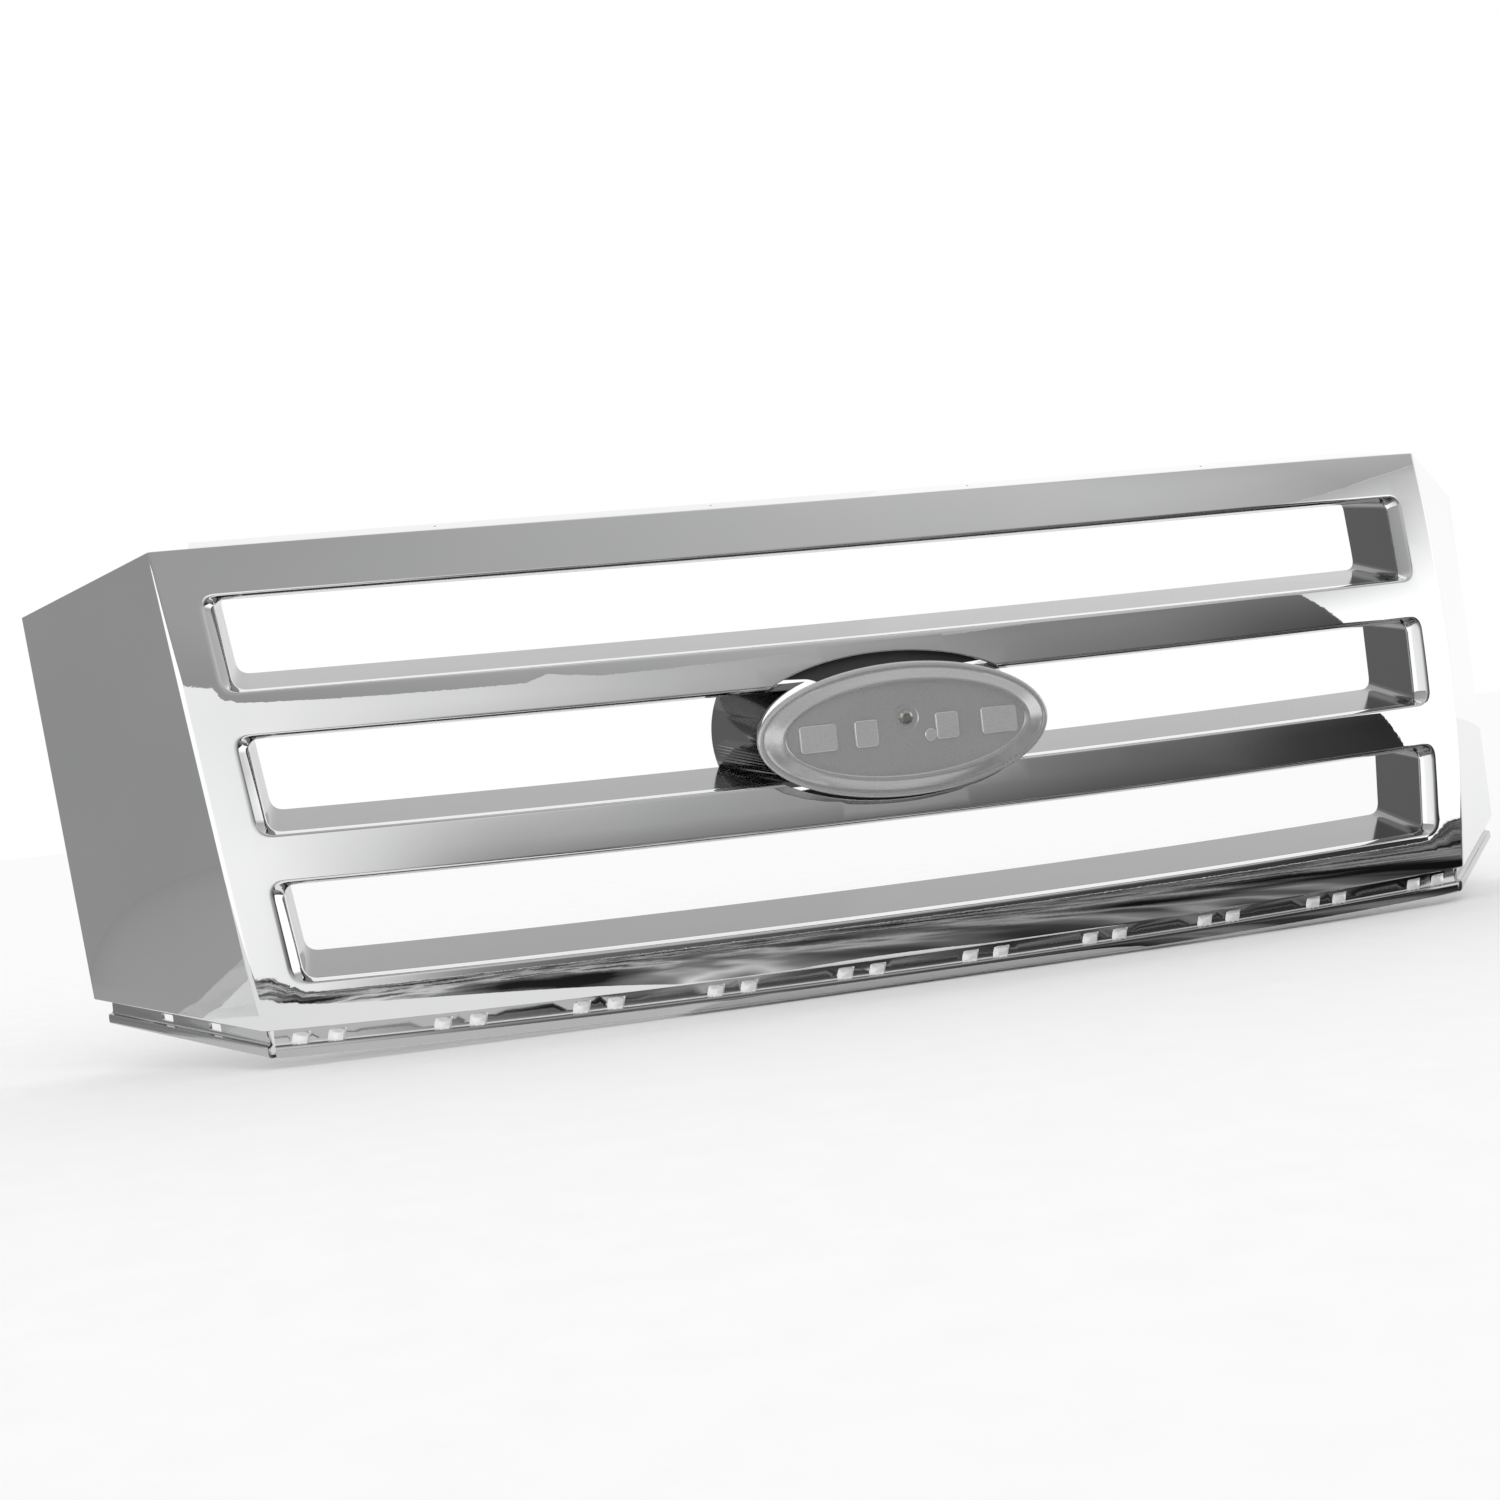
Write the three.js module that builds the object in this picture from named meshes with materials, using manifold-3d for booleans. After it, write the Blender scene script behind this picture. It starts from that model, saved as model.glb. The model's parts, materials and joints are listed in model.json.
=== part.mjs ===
// Front grille of a full-size utility vehicle: a bright three-slot shell with swept-back side wings,
// slot liners behind it, an oval emblem seat across the middle slot, a lower rail in three lengths,
// and the strips, brackets, nuts, clips and screws that hold it together and to the vehicle.
// Millimetres. The grille faces -Y, +Z is up, and +X is to the right as seen from in front; the words
// left and right in names are as seen from in front too.
import * as THREE from 'three';
import { mergeVertices } from 'three/addons/utils/BufferGeometryUtils.js';
import Module from 'manifold-3d';

const wasm = await Module();
wasm.setup();

// ---- Driving dimensions --------------------------------------------------------------------------
// The face is a bowed sheet: depth = BOW x2 + SWEEP x4 + LEAN z + CROWN z2, and every line that runs
// across it rises by ARCH x2 towards the ends.
const BOW = 0.0811e-3;
const SWEEP = 0.348e-9;
const LEAN = 0.1833;
const CROWN = 0.584e-3;
const ARCH = 25e-6;

const CREASE = 476; // half width at the corner crease, at mid height
const CREASE_SLOPE = 0.128; // the crease leans outwards with height
const FACE_TOP = 168.8;
const FACE_BOTTOM = -163;
const WALL = 3; // moulded wall thickness
const GAP = 0.3; // clearance between pieces that touch
const BOWED_GAP = 0.7; // and between pieces that touch all along the bow

const SLOT_END = 450; // half width of a slot's rim at mid height
const SLOTS = {
  upper: { bottom: 64.2, top: 133.5 },
  middle: { bottom: -34, top: 34.7 },
  lower: { bottom: -133.4, top: -65.1 },
};
const RIM_RADIUS = 12;
// How far a slot has drawn in from its rim at the back of the shell, and at the back of its liner
// where its floor has climbed and its roof has lifted away.
const SHOULDER = { end: 9, bottom: 2.2, top: 2.7, depth: 8 };
const THROAT = { end: 14.6, bottom: 16.6, top: -6, depth: 62 };
const LINER = { wall: 2.5, flange: 5, flangeDepth: 2.5, corner: 9 };

// Oval emblem seat and what carries it; widths and heights are semi-axes, depths are from the origin
// of the face, and the seat stands upright in front of the leaning bars.
const COLLAR = { front: [99, 46], back: [119, 92] }; // inner ends of the two middle liners
const CUTOUT = { width: 113, height: 52.5 }; // oval bite out of the bars
const SEAT = { width: 107.5, height: 47, rim: -23, lip: -30, floor: -27, plan: [91, 35], wall: 3 };
const SEAT_DROP = 4; // how far the seat's oval lies below the middle of the cut-out
const NECK = { width: 15, height: 7, back: 32 }; // how far the seat draws in behind its rim, and where
const PADS = [[-65, 27], [-30, 17], [29.5, 17], [68.5, 27]]; // centre across and width
const PAD_HEIGHT = 19;
const PAD_DROP = 4.5; // how far the pads lie below the middle of the face
const SEAT_SCREW_RISE = 4;
const CUP = { width: 94, height: 40, back: 16, wall: 3 }; // the emblem bracket's cup, open behind
const LUG = { root: 44, inner: 54, half: 88, foot: 34, near: 38.5, far: 57 }; // lugs over and under it
const EARS = [[-80, 49], [80, 49], [-80, -47], [80, -47]]; // screw places of the emblem bracket

const WING_TOP = new THREE.Vector3(593.5, 188.5, 146.4); // rear corners of the side wing
const WING_FOOT = new THREE.Vector3(568.5, 140, -132.7);

const FLANGE = { half: 470, depth: 30, rise: 8 }; // top flange, climbing to the rear
const STRIP = { front: 8, back: 34, thick: 3, half: 455 }; // mounting strip under the top flange
const TAB = { width: 44, start: 31, end: 58, thick: 3, hole: 4.2, drop: 1.5, clear: 8 };
const TAB_PLACES = [-400, -205, 0, 205, 400];
const NUT = { spread: 8, collar: 1.6, corner: 5.8, height: 5.5, bore: 3.1 }; // flange nut under a tab
const STRIP_SCREWS = [-300, -100, 100, 300];

const STIFFENER = { half: 440, front: 3.3, back: 24, thick: 2.6, foot: -159.6, top: -139, screws: -148 };
const STIFFENER_SCREWS = [-330, -110, 110, 330];
const CLIP_PLACES = [-400, -240, -80, 80, 240, 400];

const BRACKET = { s: [0.7, 0.93], t: [0.4, 0.64], tabInner: 505, tabFront: 131, tab: [-24, 36] };

// Section of the lower rail in (depth, height): a recessed face over a lip that returns to the rear.
const RAIL = [
  [5.5, -163.4], [5.5, -172], [1.5, -174], [1.5, -182], [18, -182],
  [18, -179.5], [4, -179.5], [4, -175.2], [8, -173.2], [8, -163.4],
];
const RAIL_HALF = 448.5;
const RIB_PITCH = 93.2; // from one pair of ribs to the next
const RIB_SPREAD = 23.5; // between the ribs of a pair
const RIB_PAIRS = 5; // on each side of the centre line

const MAX_SAG = 0.35; // furthest that a straight facet may fall short of the bow
const STATIONS = [-405, -350, -284, -200, -60, 60, 200, 284, 350, 405]; // joints across it

// ---- Materials -----------------------------------------------------------------------------------
const FINISH = {
  chrome: { color: 0xd4d6d8, roughness: 0.06, metalness: 1 },
  structure: { color: 0x1d1e20, roughness: 0.6, metalness: 0 },
  steel: { color: 0x9a9c9e, roughness: 0.4, metalness: 1 },
};

const grille = new THREE.Group();
const assembly = new THREE.Group();
grille.add(assembly);

function addPiece(name, finish, shape) {
  const geometry = shape.isBufferGeometry ? shape : geometryOf(shape);
  const mesh = new THREE.Mesh(geometry, new THREE.MeshStandardMaterial(FINISH[finish]));
  mesh.name = name;
  assembly.add(mesh);
  return mesh;
}

// ---- Solids --------------------------------------------------------------------------------------
function solid(geometry) {
  const bare = geometry.clone();
  bare.deleteAttribute('normal');
  bare.deleteAttribute('uv');
  const merged = mergeVertices(bare, 1e-4);
  return new wasm.Manifold(new wasm.Mesh({
    numProp: 3,
    vertProperties: new Float32Array(merged.attributes.position.array),
    triVerts: new Uint32Array(merged.index.array),
  }));
}

function geometryOf(body) {
  const mesh = body.getMesh();
  const geometry = new THREE.BufferGeometry();
  geometry.setAttribute('position', new THREE.BufferAttribute(mesh.vertProperties, mesh.numProp));
  geometry.setIndex(new THREE.BufferAttribute(mesh.triVerts, 1));
  return geometry;
}

/** A plate with an outline in (across, height), from depth `front` to depth `back`. */
function plate(outline, front, back, holes = []) {
  const shape = new THREE.Shape(outline);
  shape.holes = holes.map((hole) => new THREE.Path(hole));
  const geometry = new THREE.ExtrudeGeometry(shape, { depth: back - front, bevelEnabled: false });
  geometry.rotateX(Math.PI / 2);
  geometry.translate(0, back, 0);
  return solid(geometry);
}

/** A bar with a section in (depth, height) that runs across from `left` to `right`. */
function bar(section, left, right) {
  const shape = new THREE.Shape(section.map(([depth, height]) => new THREE.Vector2(depth, height)));
  const geometry = new THREE.ExtrudeGeometry(shape, { depth: right - left, bevelEnabled: false });
  geometry.rotateX(Math.PI / 2);
  geometry.rotateZ(Math.PI / 2);
  geometry.translate(left, 0, 0);
  return solid(geometry);
}

/** A closed stack of rings, each an outline in (across, height) at its own depth, front to back. */
function ringStack(rings) {
  const count = rings[0].outline.length;
  const points = rings.flatMap(({ outline, depth }) => outline.flatMap((p) => [p.x, depth, p.y]));
  const index = [];
  for (let r = 0; r + 1 < rings.length; r++) {
    for (let i = 0; i < count; i++) {
      const near = r * count + i;
      const next = r * count + ((i + 1) % count);
      index.push(near, near + count, next + count, near, next + count, next);
    }
  }
  const last = (rings.length - 1) * count;
  for (const [a, b, c] of THREE.ShapeUtils.triangulateShape(rings[0].outline, [])) {
    index.push(a, b, c);
    index.push(last + c, last + b, last + a);
  }
  const geometry = new THREE.BufferGeometry();
  geometry.setAttribute('position', new THREE.Float32BufferAttribute(points, 3));
  geometry.setIndex(index);
  return solid(geometry);
}

/** A sheet between two point grids: outer(s, t) and inner(s, t), with s and t from 0 to 1. */
function sheet(outer, inner, columns, rows) {
  const points = [];
  for (const face of [outer, inner]) {
    for (let j = 0; j <= rows; j++) {
      for (let i = 0; i <= columns; i++) {
        points.push(...face(i / columns, j / rows).toArray());
      }
    }
  }
  const wide = columns + 1;
  const layer = wide * (rows + 1);
  const index = [];
  const quad = (a, b, c, d) => index.push(a, b, c, a, c, d);
  for (let j = 0; j < rows; j++) {
    for (let i = 0; i < columns; i++) {
      const k = j * wide + i;
      quad(k, k + 1, k + wide + 1, k + wide);
      quad(layer + k, layer + k + wide, layer + k + wide + 1, layer + k + 1);
    }
  }
  for (let i = 0; i < columns; i++) {
    const top = rows * wide + i;
    quad(i, layer + i, layer + i + 1, i + 1);
    quad(top + 1, layer + top + 1, layer + top, top);
  }
  for (let j = 0; j < rows; j++) {
    const near = j * wide;
    const far = near + columns;
    quad(near + wide, layer + near + wide, layer + near, near);
    quad(far, layer + far, layer + far + wide, far + wide);
  }
  const geometry = new THREE.BufferGeometry();
  geometry.setAttribute('position', new THREE.Float32BufferAttribute(points, 3));
  geometry.setIndex(index);
  return solid(geometry);
}

// ---- The bowed face ------------------------------------------------------------------------------
function faceDepth(x, z) {
  return BOW * x ** 2 + SWEEP * x ** 4 + LEAN * z + CROWN * z ** 2;
}

/** From flat coordinates (across, depth behind the face, height at the centre) to the real place. */
function bent(across, depth, height) {
  const z = height + ARCH * across ** 2;
  return new THREE.Vector3(across, faceDepth(across, z) + depth, z);
}

/** The way out of the back of the bowed face at a flat place. */
function rearward(across, height) {
  const sideways = bent(across + 1, 0, height).sub(bent(across - 1, 0, height));
  const upwards = bent(across, 0, height + 1).sub(bent(across, 0, height - 1));
  return upwards.cross(sideways).normalize();
}

/** How far the middle of a straight edge between two flat places falls short of the bow. */
function sag(a, b) {
  const middle = a.clone().lerp(b, 0.5);
  const chord = bent(a.x, a.y, a.z).lerp(bent(b.x, b.y, b.z), 0.5);
  return chord.distanceTo(bent(middle.x, middle.y, middle.z));
}

/** Cuts every edge that is too long to follow the bow, the same way in both faces that share it. */
function split(points, triangles) {
  let work = triangles;
  let cut = true;
  while (cut) {
    cut = false;
    const middles = new Map();
    const middle = (a, b) => {
      if (sag(points[a], points[b]) <= MAX_SAG) return null;
      const key = a < b ? `${a}_${b}` : `${b}_${a}`;
      if (!middles.has(key)) {
        middles.set(key, points.length);
        points.push(points[a].clone().lerp(points[b], 0.5));
      }
      return middles.get(key);
    };
    const next = [];
    for (const [a, b, c] of work) {
      const corners = [a, b, c];
      const mids = [middle(a, b), middle(b, c), middle(c, a)];
      const found = mids.filter((m) => m !== null).length;
      cut = cut || found > 0;
      if (found === 0) {
        next.push(corners);
      } else if (found === 3) {
        next.push([a, mids[0], mids[2]], [b, mids[1], mids[0]], [c, mids[2], mids[1]], mids);
      } else {
        const turn = found === 1 ? mids.findIndex((m) => m !== null) : (mids.indexOf(null) + 1) % 3;
        const [p, q, r] = [0, 1, 2].map((i) => corners[(turn + i) % 3]);
        const [m, n] = [mids[turn], mids[(turn + 1) % 3]];
        if (found === 1) {
          next.push([p, m, r], [m, q, r]);
        } else {
          next.push([m, q, n], [p, m, n], [p, n, r]);
        }
      }
    }
    work = next;
  }
  return work;
}

/** The surface of a flat solid, jointed at the stations so that no facet runs far along the bow. */
function jointed(body) {
  const { min, max } = body.boundingBox();
  const inside = STATIONS.filter((x) => x > min[0] + 1 && x < max[0] - 1);
  const cuts = [min[0] - 1, ...inside, max[0] + 1];
  const corners = [];
  for (let i = 0; i + 1 < cuts.length; i++) {
    const slice = body.trimByPlane([1, 0, 0], cuts[i]).trimByPlane([-1, 0, 0], -cuts[i + 1]);
    const { numProp, vertProperties, triVerts } = slice.getMesh();
    for (let t = 0; t < triVerts.length; t += 3) {
      const triangle = [...triVerts.slice(t, t + 3)].map((v) => (
        [...vertProperties.slice(v * numProp, v * numProp + 3)]));
      const onCut = [cuts[i], cuts[i + 1]].some((x) => triangle.every((p) => Math.abs(p[0] - x) < 1e-3));
      if (!onCut) corners.push(...triangle.flat());
    }
  }
  const loose = new THREE.BufferGeometry();
  loose.setAttribute('position', new THREE.Float32BufferAttribute(corners, 3));
  return mergeVertices(loose, 1e-3);
}

/** Lays a flat solid onto the bowed face. */
function bend(body) {
  const flat = jointed(body);
  const place = flat.attributes.position;
  const points = Array.from({ length: place.count }, (_, i) => (
    new THREE.Vector3().fromBufferAttribute(place, i)));
  const triangles = [];
  for (let i = 0; i < flat.index.count; i += 3) {
    const triangle = [...flat.index.array.slice(i, i + 3)];
    if (new Set(triangle).size === 3) triangles.push(triangle);
  }
  const index = split(points, triangles).flat();
  const geometry = new THREE.BufferGeometry();
  geometry.setAttribute('position', new THREE.Float32BufferAttribute(
    points.flatMap((p) => bent(p.x, p.y, p.z).toArray()), 3));
  geometry.setIndex(index);
  return solid(geometry);
}

// ---- Outlines ------------------------------------------------------------------------------------
function rounded(corners, radius, steps = 2) {
  return corners.flatMap((corner, i) => {
    const before = corners[(i + corners.length - 1) % corners.length];
    const after = corners[(i + 1) % corners.length];
    const start = corner.clone().add(before.clone().sub(corner).setLength(radius));
    const end = corner.clone().add(after.clone().sub(corner).setLength(radius));
    return new THREE.QuadraticBezierCurve(start, corner, end).getPoints(steps);
  });
}

function ellipse(width, height, steps = 40, rise = 0) {
  return Array.from({ length: steps }, (_, i) => {
    const angle = (2 * Math.PI * i) / steps;
    return new THREE.Vector2(width * Math.cos(angle), height * Math.sin(angle) + rise);
  });
}

/** A slot right across the face, drawn in from its rim by `inset`. */
function slotOutline(slot, inset, radius) {
  const low = slot.bottom + inset.bottom;
  const high = slot.top - inset.top;
  const end = (height) => SLOT_END + CREASE_SLOPE * height - inset.end;
  return rounded([
    new THREE.Vector2(-end(low), low),
    new THREE.Vector2(end(low), low),
    new THREE.Vector2(end(high), high),
    new THREE.Vector2(-end(high), high),
  ], radius);
}

/** Half of the middle slot, from its outer end to the oval collar round the emblem. */
function halfSlotOutline(slot, inset, radius, side, [width, height]) {
  const low = slot.bottom + inset.bottom;
  const high = slot.top - inset.top;
  const end = (z) => SLOT_END + CREASE_SLOPE * z - inset.end;
  const collar = (z) => (width + inset.collar) * Math.sqrt(1 - (z / height) ** 2);
  const outer = rounded([
    new THREE.Vector2(collar(0), low),
    new THREE.Vector2(end(low), low),
    new THREE.Vector2(end(high), high),
    new THREE.Vector2(collar(0), high),
  ], radius).slice(3, 9);
  const inner = Array.from({ length: 7 }, (_, i) => {
    const z = high + ((low - high) * i) / 6;
    return new THREE.Vector2(collar(z), z);
  });
  const outline = [...outer, ...inner];
  return side > 0 ? outline : outline.map((p) => new THREE.Vector2(-p.x, p.y)).reverse();
}

const LINERS = [
  { name: 'upper', draw: (inset) => slotOutline(SLOTS.upper, inset, LINER.corner) },
  { name: 'middle_left', draw: (inset, oval) => (
    halfSlotOutline(SLOTS.middle, inset, LINER.corner, -1, oval)) },
  { name: 'middle_right', draw: (inset, oval) => (
    halfSlotOutline(SLOTS.middle, inset, LINER.corner, 1, oval)) },
  { name: 'lower', draw: (inset) => slotOutline(SLOTS.lower, inset, LINER.corner) },
];

/** A station's inset with the same extra all round. */
function drawnIn({ end, bottom, top }, extra) {
  return { end: end + extra, bottom: bottom + extra, top: top + extra, collar: extra };
}

// ---- Side wings ----------------------------------------------------------------------------------
/** A point on the right-hand wing: s from crease to rear edge, t from foot to top, sunk inwards. */
function wingPoint(s, t, sunk) {
  const height = FACE_BOTTOM + (FACE_TOP - FACE_BOTTOM) * t;
  const front = bent(CREASE + CREASE_SLOPE * height, 0, height);
  const rear = WING_FOOT.clone().lerp(WING_TOP, t);
  const along = rear.clone().sub(front);
  const inward = new THREE.Vector3(-along.y, along.x, 0).normalize();
  return front.addScaledVector(along, s).addScaledVector(inward, sunk);
}

/** A piece of wing-shaped sheet between two depths under the wing's outer face. */
function wingSheet([s0, s1], [t0, t1], shallow, deep, columns = 2, rows = 8) {
  const place = (sunk) => (s, t) => wingPoint(s0 + (s1 - s0) * s, t0 + (t1 - t0) * t, sunk);
  return sheet(place(shallow), place(deep), columns, rows);
}

const mirrored = (body) => body.mirror([1, 0, 0]);

// ---- Small pieces and holes ----------------------------------------------------------------------
const UP = new THREE.Vector3(0, 1, 0);

/** A round pin-shaped solid centred at `at`, along `axis`. */
function rod(at, axis, radius, length, sides = 12) {
  const geometry = new THREE.CylinderGeometry(radius, radius, length, sides);
  geometry.applyQuaternion(new THREE.Quaternion().setFromUnitVectors(UP, axis));
  geometry.translate(at.x, at.y, at.z);
  return solid(geometry);
}

function block([x0, x1], [y0, y1], [z0, z1]) {
  const geometry = new THREE.BoxGeometry(x1 - x0, y1 - y0, z1 - z0);
  geometry.translate((x0 + x1) / 2, (y0 + y1) / 2, (z0 + z1) / 2);
  return solid(geometry);
}

/** An outline in (across, depth) drawn upwards from `low` to `high`. */
function prism(corners, low, high) {
  const shape = new THREE.Shape(corners.map(([across, depth]) => new THREE.Vector2(across, depth)));
  const geometry = new THREE.ExtrudeGeometry(shape, { depth: high - low, bevelEnabled: false });
  geometry.translate(0, 0, low);
  return solid(geometry);
}

const SCREW = { head: 4.2, rise: 2.4, shank: 2, hole: 2.4 };

/** A pan-head screw whose head rests at `seat` and whose tip points away from `out`. */
function addScrew(name, seat, out, length, size = 1) {
  const { head, rise, shank } = SCREW;
  const profile = [
    [0, -length], [shank * 0.4, -length], [shank, -length + shank], [shank, GAP],
    [head, GAP], [head, rise * 0.6], [head * 0.6, rise], [0, rise],
  ].map(([r, h]) => new THREE.Vector2(r * size, h));
  const mesh = addPiece(name, 'steel', new THREE.LatheGeometry(profile, 8));
  mesh.position.copy(seat);
  mesh.quaternion.setFromUnitVectors(UP, out);
}

/** A spring-steel clip folded round the rear edge of a flange whose faces are at `low` and `high`. */
function foldedClip(low, high, edge, reach, width) {
  const sheetMetal = 1.2;
  const outer = [[edge - reach, low - GAP - sheetMetal], [edge + 2, low - GAP - sheetMetal],
    [edge + 2, high + GAP + sheetMetal], [edge - reach, high + GAP + sheetMetal]];
  const inner = [[edge - reach, high + GAP], [edge + 2 - sheetMetal, high + GAP],
    [edge + 2 - sheetMetal, low - GAP], [edge - reach, low - GAP]];
  return bar([...outer, ...inner], -width / 2, width / 2);
}

const number = (i) => String(i + 1).padStart(2, '0');
const OUT_BACK = new THREE.Vector3(0, 1, 0);
const OUT_FRONT = new THREE.Vector3(0, -1, 0);
const OUT_TOP = new THREE.Vector3(0, 0, 1);

// ---- Front shell ---------------------------------------------------------------------------------
const flangeSlope = FLANGE.rise / FLANGE.depth;
const flangeTop = (depth) => FACE_TOP + flangeSlope * depth;
const flangeOut = new THREE.Vector3(0, -flangeSlope, 1).normalize();
const stripTop = (depth) => flangeTop(depth) - WALL - 0.45;
const stripScrewSeat = (x) => bent(x, 20, stripTop(20) - STRIP.thick - GAP);
const stiffenerScrewSeat = (x) => bent(x, STIFFENER.front + STIFFENER.thick, STIFFENER.screws);
const earSeat = ([x, height]) => bent(x, SHOULDER.depth + BOWED_GAP + WALL, height);
const bracketScrews = [[0.82, 0.46], [0.82, 0.58]];
const bracketScrewSeat = ([s, t]) => wingPoint(s, t, WALL * 2 + GAP);
const bracketOut = (() => {
  const [s, t] = bracketScrews[0];
  return wingPoint(s, t, 1).sub(wingPoint(s, t, 0)).normalize();
})();
const shelf = { front: 0.05, back: STIFFENER.back, top: FACE_BOTTOM + WALL };

function frontShell() {
  const rows = 6;
  const crease = (side) => Array.from({ length: rows + 1 }, (_, i) => {
    const height = FACE_BOTTOM + ((FACE_TOP - FACE_BOTTOM) * i) / rows;
    return new THREE.Vector2(side * (CREASE + CREASE_SLOPE * height), height);
  });
  let face = plate([...crease(1), ...crease(-1).reverse()], 0, WALL);
  const slots = Object.values(SLOTS);
  const rim = { end: 0, bottom: 0, top: 0 };
  for (const slot of slots) {
    face = face.add(plate(slotOutline(slot, drawnIn(rim, -LINER.wall), 1), 1, SHOULDER.depth));
  }
  for (const [x, height] of EARS) {
    face = face.add(plate(ellipse(5, 5, 12).map((p) => p.add({ x, y: height })), 1, SHOULDER.depth));
  }
  for (const slot of slots) {
    face = face.subtract(ringStack([
      { outline: slotOutline(slot, rim, RIM_RADIUS), depth: -1 },
      { outline: slotOutline(slot, rim, RIM_RADIUS), depth: 0 },
      { outline: slotOutline(slot, SHOULDER, LINER.corner), depth: SHOULDER.depth },
      { outline: slotOutline(slot, SHOULDER, LINER.corner), depth: SHOULDER.depth + 1 },
    ]));
  }
  const bite = ellipse(CUTOUT.width, CUTOUT.height);
  face = face.subtract(plate(bite, -1, SHOULDER.depth + 1));
  face = face.add(bar([
    [0.05, FACE_TOP - 0.05], [0.5, FACE_TOP - WALL],
    [FLANGE.depth, flangeTop(FLANGE.depth) - WALL], [FLANGE.depth, flangeTop(FLANGE.depth)],
  ], -FLANGE.half, FLANGE.half));
  face = face.add(bar([
    [shelf.front, FACE_BOTTOM + 0.05], [shelf.back, FACE_BOTTOM + 0.05],
    [shelf.back, shelf.top], [0.5, shelf.top],
  ], -STIFFENER.half, STIFFENER.half));
  let wing = wingSheet([0, 1], [0, 1], 0.02, WALL, 3, rows);
  for (const [s, t] of bracketScrews) {
    wing = wing.subtract(rod(wingPoint(s, t, WALL * 2), bracketOut, SCREW.hole, WALL * 3.2));
  }
  let shell = bend(face).add(wing).add(mirrored(wing));
  for (const x of STRIP_SCREWS) shell = shell.subtract(rod(stripScrewSeat(x), flangeOut, SCREW.hole, 24));
  for (const x of STIFFENER_SCREWS) {
    shell = shell.subtract(rod(stiffenerScrewSeat(x), rearward(x, STIFFENER.screws), SCREW.hole, 10));
  }
  for (const ear of EARS) shell = shell.subtract(rod(earSeat(ear), rearward(...ear), SCREW.hole, 17));
  return shell;
}

addPiece('front_shell', 'chrome', frontShell());

// ---- Slot liners ---------------------------------------------------------------------------------
for (const { name, draw } of LINERS) {
  const front = SHOULDER.depth + BOWED_GAP;
  const atFront = (extra) => draw(drawnIn(SHOULDER, extra), COLLAR.front);
  const atBack = (extra) => draw(drawnIn(THROAT, extra), COLLAR.back);
  const flange = draw({ ...drawnIn(SHOULDER, -LINER.flange), collar: -LINER.wall }, COLLAR.front);
  const tunnel = ringStack([
    { outline: atFront(0), depth: front - 1 },
    { outline: atFront(0), depth: front },
    { outline: atBack(0), depth: THROAT.depth },
    { outline: atBack(0), depth: THROAT.depth + 1 },
  ]);
  const body = ringStack([
    { outline: atFront(-LINER.wall), depth: front },
    { outline: atBack(-LINER.wall), depth: THROAT.depth },
  ]).add(plate(flange, front, front + LINER.flangeDepth)).subtract(tunnel);
  addPiece(`slot_liner_${name}`, 'chrome', bend(body));
}

// ---- Emblem seat and its bracket -----------------------------------------------------------------
const seatScrew = new THREE.Vector3(0, SEAT.floor, SEAT_SCREW_RISE);

function emblemSeat() {
  const { width, height, rim, lip, floor, plan, wall } = SEAT;
  const oval = (w, h, depth) => ({ outline: ellipse(w, h, 40, -SEAT_DROP), depth });
  const outside = ringStack([
    oval(plan[0], plan[1], lip),
    oval(plan[0] + 1.5, plan[1] + 1.3, lip + 1.5),
    oval(width - 2, height - 2, rim - 2),
    oval(width, height, rim),
    oval(width - NECK.width, height - NECK.height, NECK.back),
  ]);
  const inside = ringStack([
    oval(plan[0] - wall, plan[1] - wall, floor + wall),
    oval(width - wall - 2, height - wall - 2, rim + 1),
    oval(width - wall, height - wall, rim + 3),
    oval(width - wall - NECK.width, height - wall - NECK.height, NECK.back + 1),
  ]);
  const recess = plate(ellipse(plan[0] - 1.6, plan[1] - 1.6, 40, -SEAT_DROP), lip - 1, floor);
  const behind = bend(plate(ellipse(width + 20, height + 20), SHOULDER.depth, 60));
  let seat = outside.subtract(inside).subtract(recess).subtract(behind);
  for (const [across, padWidth] of PADS) {
    const half = new THREE.Vector2(padWidth / 2, PAD_HEIGHT / 2);
    const corners = [[-1, -1], [1, -1], [1, 1], [-1, 1]]
      .map(([i, j]) => new THREE.Vector2(across + i * half.x, -PAD_DROP + j * half.y));
    seat = seat.add(plate(rounded(corners, 2.5, 2), floor - 1.4, floor + 1));
  }
  const boss = ellipse(4.5, 4.5, 12).map((p) => p.add({ x: 17, y: -10 }));
  const sink = ellipse(9, 9, 20).map((p) => p.add({ x: 0, y: SEAT_SCREW_RISE }));
  return seat
    .add(plate(boss, floor - 0.9, floor + 1))
    .subtract(plate(sink, lip - 1, floor + 0.8))
    .subtract(rod(seatScrew, OUT_FRONT, SCREW.hole * 1.2, 20));
}

addPiece('emblem_seat', 'chrome', emblemSeat());

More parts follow.
